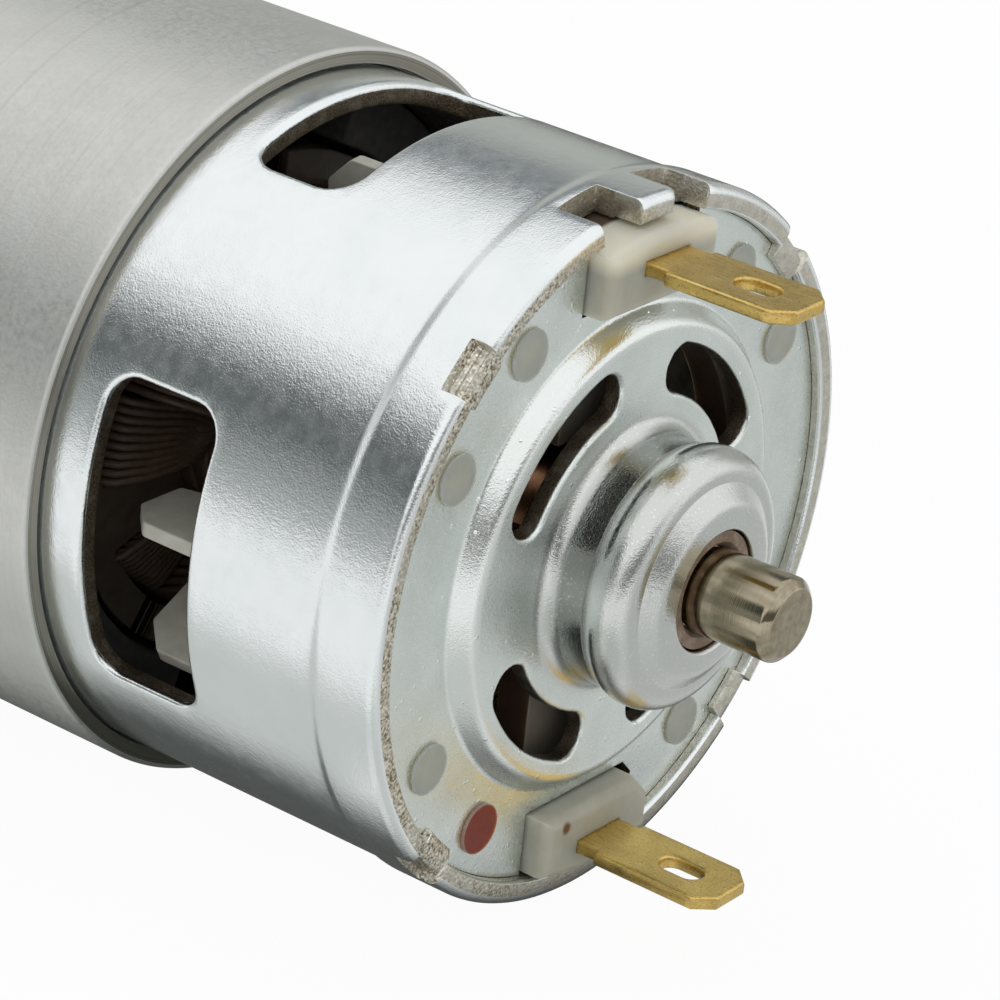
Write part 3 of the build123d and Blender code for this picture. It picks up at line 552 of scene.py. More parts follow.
class Skin:
    """Faces of a piece under construction, in millimetres, each with a finish index."""

    def __init__(self):
        self.points = []
        self.faces = []
        self.marks = []

    def face(self, corners, mark=PLATED):
        """One face from its corner points."""
        start = len(self.points)
        self.points.extend(corners)
        self.faces.append(tuple(range(start, start + len(corners))))
        self.marks.append(mark)

    def rows(self, rows, mark=PLATED, closed=True):
        """Faces between neighbouring rows of points; closed rows run all the way round."""
        for first, second in zip(rows, rows[1:]):
            count = len(first)
            for i in range(count if closed else count - 1):
                j = (i + 1) % count
                self.face((first[i], first[j], second[j], second[i]), mark)

    def mesh(self, name, merge=0.002):
        """Closed mesh with merged points and outward faces."""
        mesh = bpy.data.meshes.new(name)
        mesh.from_pydata([tuple(value * MM for value in point) for point in self.points], [], self.faces)
        mesh.polygons.foreach_set("material_index", self.marks)
        work = bmesh.new()
        work.from_mesh(mesh)
        bmesh.ops.remove_doubles(work, verts=work.verts, dist=merge * MM)
        bmesh.ops.dissolve_degenerate(work, edges=work.edges, dist=merge * MM / 2)
        bmesh.ops.recalc_face_normals(work, faces=work.faces)
        work.to_mesh(mesh)
        work.free()
        return mesh


def show(mesh, name, finish_names, body, slot, nodes, bevel=0.0, angle=40.0):
    """Object of a finished mesh, riding on a body in place of CAD nodes."""
    piece = add_object(name, mesh)
    for finish_name in finish_names:
        mesh.materials.append(coat(finish_name))
    mesh.shade_smooth()
    if bevel:
        edge = piece.modifiers.new("edge rounding", "BEVEL")
        edge.width = bevel * MM
        edge.segments = 2
        edge.limit_method = "ANGLE"
        edge.angle_limit = math.radians(angle)
        flat = piece.modifiers.new("flat faces", "WEIGHTED_NORMAL")
        flat.keep_sharp = True
    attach(piece, body)
    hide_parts(*nodes)
    return piece


def dress(finish_name, *nodes):
    """Gives CAD nodes a finish."""
    for node in nodes:
        mesh = frame["nodes"][node].data
        mesh.materials.clear()
        mesh.materials.append(coat(finish_name))


def packed_copy(node):
    """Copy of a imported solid's mesh with its loose triangles joined into whole faces."""
    work = bmesh.new()
    work.from_mesh(frame["nodes"][node].data)
    bmesh.ops.remove_doubles(work, verts=work.verts, dist=0.0005 * MM)
    bmesh.ops.dissolve_limit(work, angle_limit=math.radians(0.6), verts=work.verts, edges=work.edges)
    mesh = bpy.data.meshes.new(node)
    work.to_mesh(mesh)
    work.free()
    return mesh


def place_of(node):
    """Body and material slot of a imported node."""
    record = frame["record"]
    body = next(name for name, nodes in record["behaviour"]["bodies"].items() if node in nodes)
    slot = next(part["material_slot"] for part in record["subparts"] if part["node"] == node)
    return body, slot


def soften(finish_name, bevel, *nodes):
    """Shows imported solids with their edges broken, as smooth pieces with a finish."""
    for node in nodes:
        show(packed_copy(node), node + "_piece", (finish_name,), *place_of(node), [node], bevel, 35.0)


class Growth:
    """A Geometry Nodes tree that grows a piece from a base mesh."""

    def __init__(self, name, **inputs):
        self.tree = bpy.data.node_groups.new(name, "GeometryNodeTree")
        self.socket("Geometry", "Geometry")
        for label, kind in {**inputs, "Material": "Material"}.items():
            self.socket(label, *kind.split())
        self.tree.interface.new_socket("Geometry", in_out="OUTPUT", socket_type="NodeSocketGeometry")
        self.given = self.tree.nodes.new("NodeGroupInput").outputs

    def socket(self, label, kind, unit=None):
        """New input of the tree."""
        socket = self.tree.interface.new_socket(label, in_out="INPUT", socket_type="NodeSocket" + kind)
        if unit:
            socket.subtype = unit

    def node(self, kind, inputs=None, **settings):
        """First output of a new node."""
        return add_node(self.tree, kind, inputs, **settings).outputs[0]

    def close(self, geometry):
        """Ends the tree with plain geometry in its material."""
        plain = self.node("GeometryNodeRealizeInstances", {"Geometry": geometry})
        dressed = self.node("GeometryNodeSetMaterial", {"Geometry": plain, "Material": self.given["Material"]})
        add_node(self.tree, "NodeGroupOutput", {0: dressed})
        return self.tree


def around_shaft():
    """Tree that repeats a mesh evenly about the shaft."""
    growth = Growth("around_shaft", Count="Int", Start="Float ANGLE")
    points = growth.node("GeometryNodePoints", {"Count": growth.given["Count"]})
    step = growth.node("ShaderNodeMath", {0: math.tau, 1: growth.given["Count"]}, operation="DIVIDE")
    turn = {0: growth.node("GeometryNodeInputIndex"), 1: step, 2: growth.given["Start"]}
    turned = growth.node("ShaderNodeMath", turn, operation="MULTIPLY_ADD")
    back = growth.node("ShaderNodeMath", {0: turned, 1: -1.0}, operation="MULTIPLY")
    way = growth.node("FunctionNodeEulerToRotation", {0: growth.node("ShaderNodeCombineXYZ", {1: back})})
    inputs = {"Points": points, "Instance": growth.given["Geometry"], "Rotation": way}
    return growth.close(growth.node("GeometryNodeInstanceOnPoints", inputs))


def round_wire():
    """Tree that lays round wire along the edges of a mesh."""
    growth = Growth("round_wire", Diameter="Float DISTANCE", Sides="Int", Smoothness="Int")
    lines = growth.node("GeometryNodeMeshToCurve", {"Mesh": growth.given["Geometry"]})
    lines = growth.node("GeometryNodeCurveSplineType", {"Curve": lines}, spline_type="CATMULL_ROM")
    smooth = {"Geometry": lines, "Resolution": growth.given["Smoothness"]}
    lines = growth.node("GeometryNodeSetSplineResolution", smooth)
    half = growth.node("ShaderNodeMath", {0: growth.given["Diameter"], 1: 0.5}, operation="MULTIPLY")
    circle = {"Resolution": growth.given["Sides"], "Radius": half}
    section = growth.node("GeometryNodeCurvePrimitiveCircle", circle)
    inputs = {"Curve": lines, "Profile Curve": section, "Fill Caps": True}
    return growth.close(growth.node("GeometryNodeCurveToMesh", inputs))


def grown(name, base, tree, finish_name, **inputs):
    """Plain mesh of what a tree grows from a base mesh."""
    holder = add_object(name, base)
    modifier = holder.modifiers.new("growth", "NODES")
    modifier.node_group = tree
    values = {**inputs, "Material": coat(finish_name)}
    for socket in tree.interface.items_tree:
        if socket.item_type == "SOCKET" and socket.in_out == "INPUT" and socket.name in values:
            modifier[socket.identifier] = values[socket.name]
    graph = bpy.context.evaluated_depsgraph_get()
    mesh = bpy.data.meshes.new_from_object(holder.evaluated_get(graph))
    holder.modifiers.remove(modifier)
    bpy.data.objects.remove(holder)
    mesh.name = name
    mesh.materials.clear()
    return mesh


def wires(paths, closed):
    """Mesh of the edges along paths of points in millimetres."""
    points, edges = [], []
    for path in paths:
        start, count = len(points), len(path)
        points.extend(tuple(point * MM) for point in path)
        edges.extend((start + i, start + (i + 1) % count) for i in range(count if closed else count - 1))
    mesh = bpy.data.meshes.new("paths")
    mesh.from_pydata(points, edges, [])
    return mesh


def polar(radius, angle, y):
    """Point at a radius and an angle from +X towards +Z."""
    turn = math.radians(angle)
    return Vector((radius * math.cos(turn), y, radius * math.sin(turn)))


def tangent(angle):
    """Unit vector round the shaft at an angle."""
    turn = math.radians(angle)
    return Vector((-math.sin(turn), 0.0, math.cos(turn)))


def ring(radius, y, angles):
    """Points of one circle about the shaft axis."""
    return [polar(radius, angle, y) for angle in angles]


def profile(corners, step=15.0):
    """Points of an open outline whose corners are rounded by their radii."""
    points = [Vector(corners[0][0])]
    for (before, _), (corner, radius), (after, _) in zip(corners, corners[1:], corners[2:]):
        corner = Vector(corner)
        if not radius:
            points.append(corner)
            continue
        back = (Vector(before) - corner).normalized()
        ahead = (Vector(after) - corner).normalized()
        half = math.acos(max(-1.0, min(1.0, back.dot(ahead)))) / 2
        reach = radius / math.tan(half)
        centre = corner + (back + ahead).normalized() * (radius / math.sin(half))
        start = corner + back * reach - centre
        end = corner + ahead * reach - centre
        sweep = start.angle_signed(end)
        count = max(2, math.ceil(abs(math.degrees(sweep)) / step))
        for index in range(count + 1):
            points.append(centre + Matrix.Rotation(-sweep * index / count, 2) @ start)
    points.append(Vector(corners[-1][0]))
    return [tuple(point) for point in points]


def lathe(skin, points, angles, mark=PLATED):
    """Turned surface from points in radius and Y."""
    skin.rows([ring(radius, y, angles) for radius, y in points], mark)


def rounded_outline(half_long, half_wide, corner, counts, grow, shares):
    """Points round a rectangle with round corners, side by side from its low corner, grown outwards.

    Shares are the parts of a long and of a wide side's points that go into each of its corners."""
    long_run, wide_run, radius = half_long - corner, half_wide - corner, corner + grow
    ends = ((-long_run, -wide_run), (long_run, -wide_run), (long_run, wide_run), (-long_run, wide_run))
    points = []
    for side, (count, share) in enumerate(zip(counts, shares * 2)):
        (start_s, start_t), (end_s, end_t) = ends[side], ends[(side + 1) % 4]
        first = (225 + 90 * side) % 360
        for index in range(count):
            part = index / count
            if part < share:
                angle = first + 45.0 * part / share
                s, t = start_s, start_t
            elif part > 1.0 - share:
                angle = first + 45.0 + 45.0 * (part - 1.0 + share) / share
                s, t = end_s, end_t
            else:
                angle = first + 45.0
                along = (part - share) / (1.0 - 2.0 * share)
                s, t = start_s + (end_s - start_s) * along, start_t + (end_t - start_t) * along
            turn = math.radians(angle)
            points.append((s + radius * math.cos(turn), t + radius * math.sin(turn)))
    return points


def grid_angles(extra=(), without=()):
    """Angles of the can's and the plate's grids: every degree and a half, with a few lines moved."""
    lines = {round(index * 1.5, 3) for index in range(240)}
    lines -= {round(angle % 360, 3) for angle in without}
    lines |= {round(angle % 360, 3) for angle in extra}
    return sorted(lines)


def frame_of(columns, rows, first, last, low, high):
    """Grid places round a block, side by side from its low corner."""
    places = [(column, low) for column in range(first, last)]
    places += [(last, row) for row in range(low, high)]
    places += [(column, high) for column in range(last, first, -1)]
    places += [(first, row) for row in range(high, low, -1)]
    return [(columns[column % len(columns)], rows[row]) for column, row in places]


def covered(blocks, columns, i, j):
    """Whether a cell of a grid lies in one of its blocks."""
    return any((i - first) % columns < last - first and low <= j < high for first, last, low, high in blocks)


def side_counts(block):
    """Counts of cells along the four sides of a block."""
    first, last, low, high = block
    return (last - first, high - low) * 2


class Sheet:
    """Sheet on a grid of angles and stations, between an outer and an inner face that are functions of both."""

    def __init__(self, skin, angles, stations, outer, inner):
        self.skin, self.angles, self.stations = skin, angles, stations
        self.outer, self.inner = outer, inner

    def block(self, centre, half, low, high):
        """Grid block between two angles and two stations: first and last column, low and high row."""

        def column(angle):
            return min(range(len(self.angles)), key=lambda i: abs((self.angles[i] - angle + 180) % 360 - 180))

        def row(station):
            return min(range(len(self.stations)), key=lambda j: abs(self.stations[j] - station))

        first, last = column(centre - half), column(centre + half)
        return first, last if last > first else last + len(self.angles), row(low), row(high)

    def border(self, block):
        """Angles and stations round a block."""
        return frame_of(self.angles, self.stations, *block)

    def lay(self, patches, gaps=(), start_wall=False):
        """Both faces, with patches left open for holes, and gaps and the start walled in."""
        angles, stations, count = self.angles, self.stations, len(self.angles)

        def missing(i, j):
            if j < 0:
                return start_wall
            return j < len(stations) - 1 and covered(gaps, count, i % count, j)

        for i in range(count):
            k = (i + 1) % count
            for j in range(len(stations) - 1):
                if covered(patches, count, i, j) or covered(gaps, count, i, j):
                    continue
                corners = [(angles[a], stations[b]) for a, b in ((i, j), (k, j), (k, j + 1), (i, j + 1))]
                for side, mark in ((self.outer, PLATED), (self.inner, INSIDE)):
                    self.skin.face([side(*corner) for corner in corners], mark)
                beside = ((i, j - 1), (i + 1, j), (i, j + 1), (i - 1, j))
                for place, start, end in zip(beside, corners, corners[1:] + corners[:1]):
                    if missing(*place):
                        wall = self.outer(*start), self.outer(*end), self.inner(*end), self.inner(*start)
                        self.skin.face(wall, SHEARED)

    def punch(self, block, outline, place, wall, lip, project=lambda point, deep: point, ragged=0.0):
        """Hole through a block: over a rolled lip, through the wall and over a small burr back to the inside.

        Outline gives the hole's points for the counts of the block's sides and a growth, place puts them on
        the sheet at a depth, and project pulls the points between hole and block onto it."""
        border, counts = self.border(block), side_counts(block)

        def hole(grow, deep):
            points = []
            for s, t in outline(counts, grow):
                point = place(s, t, deep)
                shift = 1.0 + ragged * noise.noise(point * 1.7) / 10.0
                points.append(place(s * shift, t * shift, deep))
            return points

        def spread(side, edge, deep):
            start = [side(*at) for at in border]
            parts = (0.0, 0.35, 0.7)
            return [[project(p.lerp(q, part), deep) for p, q in zip(start, edge)] for part in parts] + [edge]

        turns = [math.radians(angle) for angle in (0, 22.5, 45, 67.5, 90)]
        burr = lip * 0.45
        rolled = [hole(lip * (1.0 - math.sin(turn)), lip * (1.0 - math.cos(turn))) for turn in turns]
        under = [hole(burr * (1.0 - math.sin(turn)), wall - burr * (1.0 - math.cos(turn))) for turn in turns]
        skin = self.skin
        skin.rows(spread(self.outer, rolled[0], 0.0), PLATED)
        skin.rows(rolled, PLATED)
        skin.rows([rolled[-1], hole(0.0, wall * 0.45), hole(0.0, wall * 0.7), under[-1]], RAW)
        skin.rows(under, RAW)
        skin.rows(spread(self.inner, under[0], wall), INSIDE)


class FlatSheet(Sheet):
    """Flat sheet across the shaft whose depth runs forwards or back from its outer face."""

    def __init__(self, skin, angles, stations, face, depth):
        super().__init__(skin, angles, stations, lambda angle, out: polar(out, angle, face),
                         lambda angle, out: polar(out, angle, face + depth))
        self.face, self.wall = face, abs(depth)
        self.way = math.copysign(1.0, depth)

    def slot(self, block, centre, middle, width, half, lip, ragged=0.0):
        """Curved vent slot with round ends, about a middle radius and half an angle long each way."""
        run = math.radians(half) * middle - width / 2

        def place(s, t, deep):
            along = max(-run, min(run, s))
            angle = centre + math.degrees(along / middle)
            return polar(middle + t, angle, self.face + self.way * deep) + tangent(angle) * (s - along)

        def outline(counts, grow):
            corner = width / 2 - SHORT_RUN
            return rounded_outline(run + width / 2, width / 2, corner, counts, grow, (0.24, 0.49))

        self.punch(block, outline, place, self.wall, lip, ragged=ragged)

    def bore(self, block, centre, middle, radius, lip):
        """Round hole at a middle radius."""
        out, along = polar(1.0, centre, 0.0), tangent(centre)

        def place(s, t, deep):
            return out * (middle + t) + along * s + Vector((0.0, self.face + self.way * deep, 0.0))

        def outline(counts, grow):
            return rounded_outline(radius, radius, radius - SHORT_RUN, counts, grow, ROUND_SHARES)

        self.punch(block, outline, place, self.wall, lip)


def can_mesh():
    """Drawn can: staked and notched rim, four windows, front face with vents and screws, and the boss."""
    size = sizes()
    rim, wall, rounding = size["rim_radius"], size["can_wall"], size["rim_round"]
    radius = rim - size["rim_flare"]
    flare_start, flare_run = 3.8, 0.9
    # The end plate's seat inside the rim: its end, its chamfer, and the end of the plated edge
    seat_radius, seat_end, seat_chamfer, plated_end = rim - size["rim_wall"], 1.94, 0.14, 0.2
    # Punch marks: their end, ridges, taper, sunk edge and steep sides, and how deep the rim is pressed in
    punch_end, ridge, ridge_pitch, taper, sink, sink_end, steep = 1.37, 0.16, 0.45, 0.12, 0.16, 0.6, 0.07
    pressed_end, pressed_full = 0.7, 0.3
    # Half the angles of the tongue above the upper terminal and of the notch on each side of it
    tongue_half, notch_half = 4.0, 4.75

    half_stake = math.degrees(size["stake_width"] / 2 / rim)
    stakes = [45.0 + 90.0 * turn for turn in range(4)]
    windows = [90.0 * turn for turn in range(4)]
    moved = [middle + side * share * half_stake for middle in stakes
             for side in (-1, 1) for share in (1.0 - steep, 1.0)]
    moved += [90.0 - tongue_half, 90.0 + tongue_half]
    dropped = [middle + side * 4.5 for middle in stakes for side in (-1, 1)] + [85.5, 94.5]
    angles = grid_angles(moved, dropped)

    start, end, margin = size["window_reach"], size["window_reach"] + size["window_length"], 1.8
    rows = [start - margin + (end - start + 2 * margin) * index / 12 for index in range(13)]
    stations = [0.0, 0.13, 0.26, 0.4, 0.52, 0.62, 0.67, 0.72, 0.8, 0.9, 1.0, 1.1, 1.2, 1.3, 1.4, 1.6, 1.9, 1.95,
                2.6, size["notch_depth"], 3.8, 3.95, 4.1, 4.25, 4.4, 4.55, 4.7, 5.1, 6.5, 8.0, 9.6, 10.8]
    stations += rows + [24.4, 28.0, 36.0, 44.0, 52.0, 60.0, -REAR - FRONT_ROUND]

    def stake(angle):
        away = abs(angle % 90.0 - 45.0)
        return max(0.0, min(1.0, (half_stake - away) / (half_stake * steep)))

    def station(angle, reach):
        return REAR + reach + sink * stake(angle) * max(0.0, 1.0 - reach / sink_end)

    def outer(angle, reach):
        step = max(0.0, min(1.0, (reach - flare_start) / flare_run))
        out = rim - size["rim_flare"] * step * step * (3 - 2 * step)
        out -= rounding - math.sqrt(rounding ** 2 - max(0.0, rounding - reach) ** 2)
        if reach < punch_end:
            ridges = 0.5 + 0.5 * math.cos(math.tau * reach / ridge_pitch)
            out -= stake(angle) * (size["stake_dent"] - taper * reach + ridge * ridges)
        return polar(out, angle, station(angle, reach))

    def inner(angle, reach):
        out = seat_radius + max(0.0, seat_chamfer - reach) if reach < seat_end else radius - wall
        if reach < pressed_end:
            out -= stake(angle) * size["stake_reach"] * (0.72 + 0.28 * min(1.0, reach / pressed_full))
        return polar(out, angle, station(angle, reach))

    def project(point, deep):
        flat = Vector((point.x, 0.0, point.z)).normalized() * (radius - deep)
        return Vector((flat.x, point.y, flat.z))

    def window(centre, block):
        trim = size["window_trim"] if centre % 180.0 else 0.0
        middle = (start + trim + end) / 2

        def place(s, t, deep):
            out = radius - deep
            return polar(out, centre + math.degrees(math.asin(s / out)), REAR + middle + t)

        def outline(counts, grow):
            return rounded_outline(size["window_width"] / 2, (size["window_length"] - trim) / 2,
                                   size["window_corner"], counts, grow, (0.26, 0.26))

        shell.punch(block, outline, place, wall, size["lip"] * 1.4, project)

    skin = Skin()
    shell = Sheet(skin, angles, stations, outer, inner)
    blocks = [shell.block(centre, 31.5, rows[0], rows[-1]) for centre in windows]
    gaps = [shell.block(90.0 + side * (tongue_half + notch_half), notch_half, 0.0, size["notch_depth"])
            for side in (-1, 1)]
    shell.lay(blocks, gaps, True)
    for index, face in enumerate(skin.faces):
        middle = sum((skin.points[i] for i in face), Vector()) / len(face)
        pressed = stake(math.degrees(math.atan2(middle.z, middle.x)) % 360)
        if skin.marks[index] == PLATED and middle.y < REAR + punch_end and pressed > 0.4:
            skin.marks[index] = SHEARED
        elif skin.marks[index] == INSIDE and middle.y < REAR + seat_end:
            skin.marks[index] = PLATED if middle.y < REAR + plated_end else SHEARED
    for centre, block in zip(windows, blocks):
        window(centre, block)
    front_face(skin, angles, size)
    return skin.mesh("can")


def front_face(skin, angles, size):
    """Front end of the can: rounded corner, flat face with vents and screw holes, and the bearing boss."""
    radius, wall = size["rim_radius"] - size["rim_flare"], size["can_wall"]
    boss, height = size["boss_radius"], size["boss_height"]
    bearing_seat, opening, opening_chamfer, boss_lip = 8.02, 6.2, 0.15, 0.6
    face_edge, foot = 19.0, boss + 0.6
    vent_radius, vent_width, vent_half = 14.25, 3.2, 13.0
    screw_radius, screw_hole, screw_lip = 14.5, 1.65, 0.2
    patch = 11.7, 17.0
    bore = radius - wall
    outside = [((radius, -FRONT_ROUND), 0), ((radius, 0.0), FRONT_ROUND), ((face_edge, 0.0), 0)]
    inside = [((bore, -FRONT_ROUND), 0), ((bore, -wall), 0.35), ((face_edge, -wall), 0)]
    lathe(skin, profile(outside), angles)
    lathe(skin, profile(inside), angles, INSIDE)
    stations = [foot, 9.8, 10.6, patch[0], 12.6, 13.4, 14.3, 15.2, 16.0, patch[1], 17.8, face_edge]
    sheet = FlatSheet(skin, angles, stations, 0.0, -wall)
    vents = [side + turn for side in (90.0, 270.0) for turn in (-27.0, 27.0)]
    screws = (0.0, 180.0)
    vent_blocks = [sheet.block(vent, 15.0, *patch) for vent in vents]
    screw_blocks = [sheet.block(screw, 10.5, *patch) for screw in screws]
    sheet.lay(vent_blocks + screw_blocks)
    for vent, block in zip(vents, vent_blocks):
        sheet.slot(block, vent, vent_radius, vent_width, vent_half, size["lip"])
    for screw, block in zip(screws, screw_blocks):
        sheet.bore(block, screw, screw_radius, screw_hole, screw_lip)
    lathe(skin, profile([
        ((foot, 0.0), 0), ((boss, 0.0), 0.5), ((boss, height), 0.6), ((opening + opening_chamfer, height), 0),
        ((opening, height - opening_chamfer), 0), ((opening, height - boss_lip), 0),
        ((bearing_seat, height - boss_lip), 0), ((bearing_seat, -wall), 0.3), ((foot, -wall), 0),
    ]), angles)


def plate_mesh():
    """Pressed end plate: flat rim with pin holes and cut-outs, raised dish with slots, and the bush boss."""
    size = sizes()
    thick = size["plate_thickness"]
    angles = grid_angles()
    # Stations of the flat rim and of the dish, and radii where the rim, the dish and the boss start
    back, dish = REAR + 0.7, REAR - 0.5
    flat, top, foot = 15.0, 12.8, 8.35
    slot_radius, slot_width, slot_half, slot_ragged = 10.85, 2.9, 28.6, 0.12
    patch = 8.7, 12.68
    front, under = back + thick, dish + thick
    skin = Skin()
    outside = [((flat, back), 0), ((14.4, back), 0.5), ((13.5, dish), 0.9), ((top, dish), 0)]
    inside = [((flat, front), 0), ((14.0, front), 0.9), ((13.1, under), 0.5), ((top, under), 0)]
    lathe(skin, profile(outside, 9.0), angles)
    lathe(skin, profile(inside, 9.0), angles, INSIDE)
    stations = [foot, patch[0], 9.3, 10.0, 10.7, 11.4, 12.0, patch[1], top]
    sheet = FlatSheet(skin, angles, stations, dish, thick)
    slots = [side + turn for side in (90.0, 270.0) for turn in (-40.0, 40.0)]
    blocks = [sheet.block(slot, 32.0, *patch) for slot in slots]
    sheet.lay(blocks)
    for slot, block in zip(slots, blocks):
        sheet.slot(block, slot, slot_radius, slot_width, slot_half, size["lip"] * 0.8, slot_ragged)
    mouth = 3.57, dish - 5.5
    boss = [((foot, dish), 0), ((7.3, dish), 1.0), ((7.3, dish - 2.5), 0.3), ((7.7, dish - 3.3), 1.5),
            ((7.7, dish - 5.4), 1.5), ((6.05, dish - 5.4), 0.1), ((4.96, dish - 6.15), 1.4),
            ((mouth[0], dish - 6.3), 0.22), (mouth, 0)]
    hollow = [(mouth, 0), ((6.2, dish - 4.6), 0), ((6.2, under), 0.5), ((foot, under), 0)]
    lathe(skin, profile(boss, 7.5), angles)
    lathe(skin, profile(hollow), angles, INSIDE)
    flat_rim(skin, angles, size, back, flat)
    return skin.mesh("end_plate")


def flat_rim(skin, angles, size, back, flat):
    """Flat outer ring of the end plate, cut out for the terminal blocks and bored for the pins."""
    thick = size["plate_thickness"]
    pin_radius, pin_hole, patch = 17.2, 1.3, (15.4, 19.0)
    stations = [flat, patch[0], 16.0, 16.6, 17.2, 17.8, 18.4, patch[1], 19.4, size["plate_radius"]]
    pins = [side + sign * offset for side in (90.0, 270.0) for offset in (34.0, 60.0) for sign in (-1, 1)]
    block_cuts = [[(-5.05, 15.1), (5.05, 15.1), (5.05, 21.0), (-5.05, 21.0)],
                  [(5.05, -16.0), (4.15, -15.1), (-5.05, -15.1), (-5.05, -21.0), (5.05, -21.0)]]
    face = Skin()
    sheet = FlatSheet(face, angles, stations, back, thick)
    blocks = [sheet.block(pin, 7.5, *patch) for pin in pins]
    for i, angle in enumerate(angles):
        after = angles[(i + 1) % len(angles)]
        for j, (low, high) in enumerate(zip(stations, stations[1:])):
            if not covered(blocks, len(angles), i, j):
                corners = (angle, low), (after, low), (after, high), (angle, high)
                face.face([sheet.outer(*corner) for corner in corners])
    for pin, block in zip(pins, blocks):
        around = [sheet.outer(*at) for at in sheet.border(block)]
        centre, out, along = polar(pin_radius, pin, back), polar(1.0, pin, 0.0), tangent(pin)
        corner, counts = pin_hole - SHORT_RUN, side_counts(block)
        outline = rounded_outline(pin_hole, pin_hole, corner, counts, 0.0, ROUND_SHARES)
        hole = [centre + along * s + out * t for s, t in outline]
        face.rows([[p.lerp(q, part) for p, q in zip(around, hole)] for part in (0.0, 0.5, 1.0)])
    work = bmesh.new()
    work.from_mesh(face.mesh("rim_face"))
    for cut in block_cuts:
        cut_out(work, cut, stations[1])
    thicken(skin, work, Vector((0.0, thick, 0.0)), INSIDE, RAW, flat + 0.05)


def cut_out(work, cut, inmost):
    """Cuts an outline in X and Z out of the flat rim; cuts towards the shaft stop at its innermost faces."""
    sign = 1.0 if cut[0][1] > 0 else -1.0
    edge, beside, outside = 13.5, 7.0, 20.0
    for (x0, z0), (x1, z1) in zip(cut, cut[1:] + cut[:1]):
        if abs(z0) > outside and abs(z1) > outside:
            continue
        least = 0.0 if z0 == z1 else inmost
        near = []
        for face in work.faces:
            x, _, z = face.calc_center_median() / MM
            if z * sign > edge and abs(x) < beside and math.hypot(x, z) > least:
                near.append(face)
        edges = dict.fromkeys(line for face in near for line in face.edges)
        points = dict.fromkeys(point for face in near for point in face.verts)
        bmesh.ops.bisect_plane(work, geom=[*near, *edges, *points], dist=1e-7,
                               plane_co=(x0 * MM, 0.0, z0 * MM), plane_no=(z1 - z0, 0.0, x0 - x1))
    gone = [face for face in work.faces if within(cut, face.calc_center_median())]
    bmesh.ops.delete(work, geom=gone, context="FACES")


def within(corners, point):
    """Whether a point lies inside an outline in X and Z."""
    x, z = point.x / MM, point.z / MM
    inside = False
    for (x0, z0), (x1, z1) in zip(corners, corners[1:] + corners[:1]):
        if (z0 > z) != (z1 > z) and x < (x1 - x0) * (z - z0) / (z1 - z0) + x0:
            inside = not inside
    return inside


def thicken(skin, flat, rise, under=PLATED, wall=PLATED, least=0.0):
    """Both faces of a flat mesh, with walls along its open edges outside a radius."""
    for face in flat.faces:
        corners = [vert.co / MM for vert in face.verts]
        skin.face(corners)
        skin.face([point + rise for point in corners], under)
    for edge in flat.edges:
        start, end = (vert.co / MM for vert in edge.verts)
        if edge.is_boundary and min(math.hypot(point.x, point.z) for point in (start, end)) >= least:
            skin.face([start, end, end + rise, start + rise], wall)
    flat.free()


def ring_mesh():
    """Rolled sleeve with rounded outer edges, a relief inside both ends and an open butt seam."""
    size = sizes()
    outer = size["ring_radius"]
    inner = outer - size["ring_thickness"]
    low, high = (corner.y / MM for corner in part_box("flux_ring"))
    half = math.degrees(size["ring_seam"] / 2 / outer)
    seam, cells = -45.0, 240
    angles = [seam + half + (360.0 - 2 * half) * index / cells for index in range(cells + 1)]
    relief, relief_run = inner + 0.14, 0.9
    face, rounding, edge_run = outer - 0.5, 0.3, 1.0
    points = profile([
        ((inner, low + relief_run), 0), ((relief, low + relief_run), 0), ((relief, low), 0), ((face, low), 0),
        ((outer, low), rounding), ((outer, low + edge_run), 0), ((outer, high - edge_run), 0),
        ((outer, high), rounding), ((face, high), 0), ((relief, high), 0), ((relief, high - relief_run), 0),
        ((inner, high - relief_run), 0),
    ])
    skin = Skin()
    rows = [ring(radius, y, angles) for radius, y in points + points[:1]]
    for first, second, start, end in zip(rows, rows[1:], points, points[1:] + points[:1]):
        skin.rows([first, second], RAW if start[1] == end[1] else PLATED, False)
    for angle in (angles[0], angles[-1]):
        skin.face([polar(radius, angle, y) for radius, y in points], RAW)
    return skin.mesh("flux_ring")


def shaft_mesh():
    """Ground shaft with broken edges on its chamfers and a relief groove at each bearing."""
    radius = sizes()["shaft_radius"]
    low, high = (corner.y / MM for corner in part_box("shaft"))
    groove, groove_run = radius - 0.2, 0.7
    rear, front = REAR - 6.5, 4.05
    chamfer, end = 0.5, radius - 0.55
    corners = [
        ((0.0, low), 0), ((end, low), 0.34), ((radius, low + chamfer), 0.4), ((radius, rear), 0),
        ((groove, rear), 0), ((groove, rear + groove_run), 0), ((radius, rear + groove_run), 0),
        ((radius, front - groove_run), 0), ((groove, front - groove_run), 0), ((groove, front), 0),
        ((radius, front), 0), ((radius, high - chamfer), 0.4), ((end, high), 0.34), ((0.0, high), 0),
    ]
    skin = Skin()
    lathe(skin, profile(corners, 12.0), [index * 5.0 for index in range(72)])
    return skin.mesh("shaft", 0.0005)


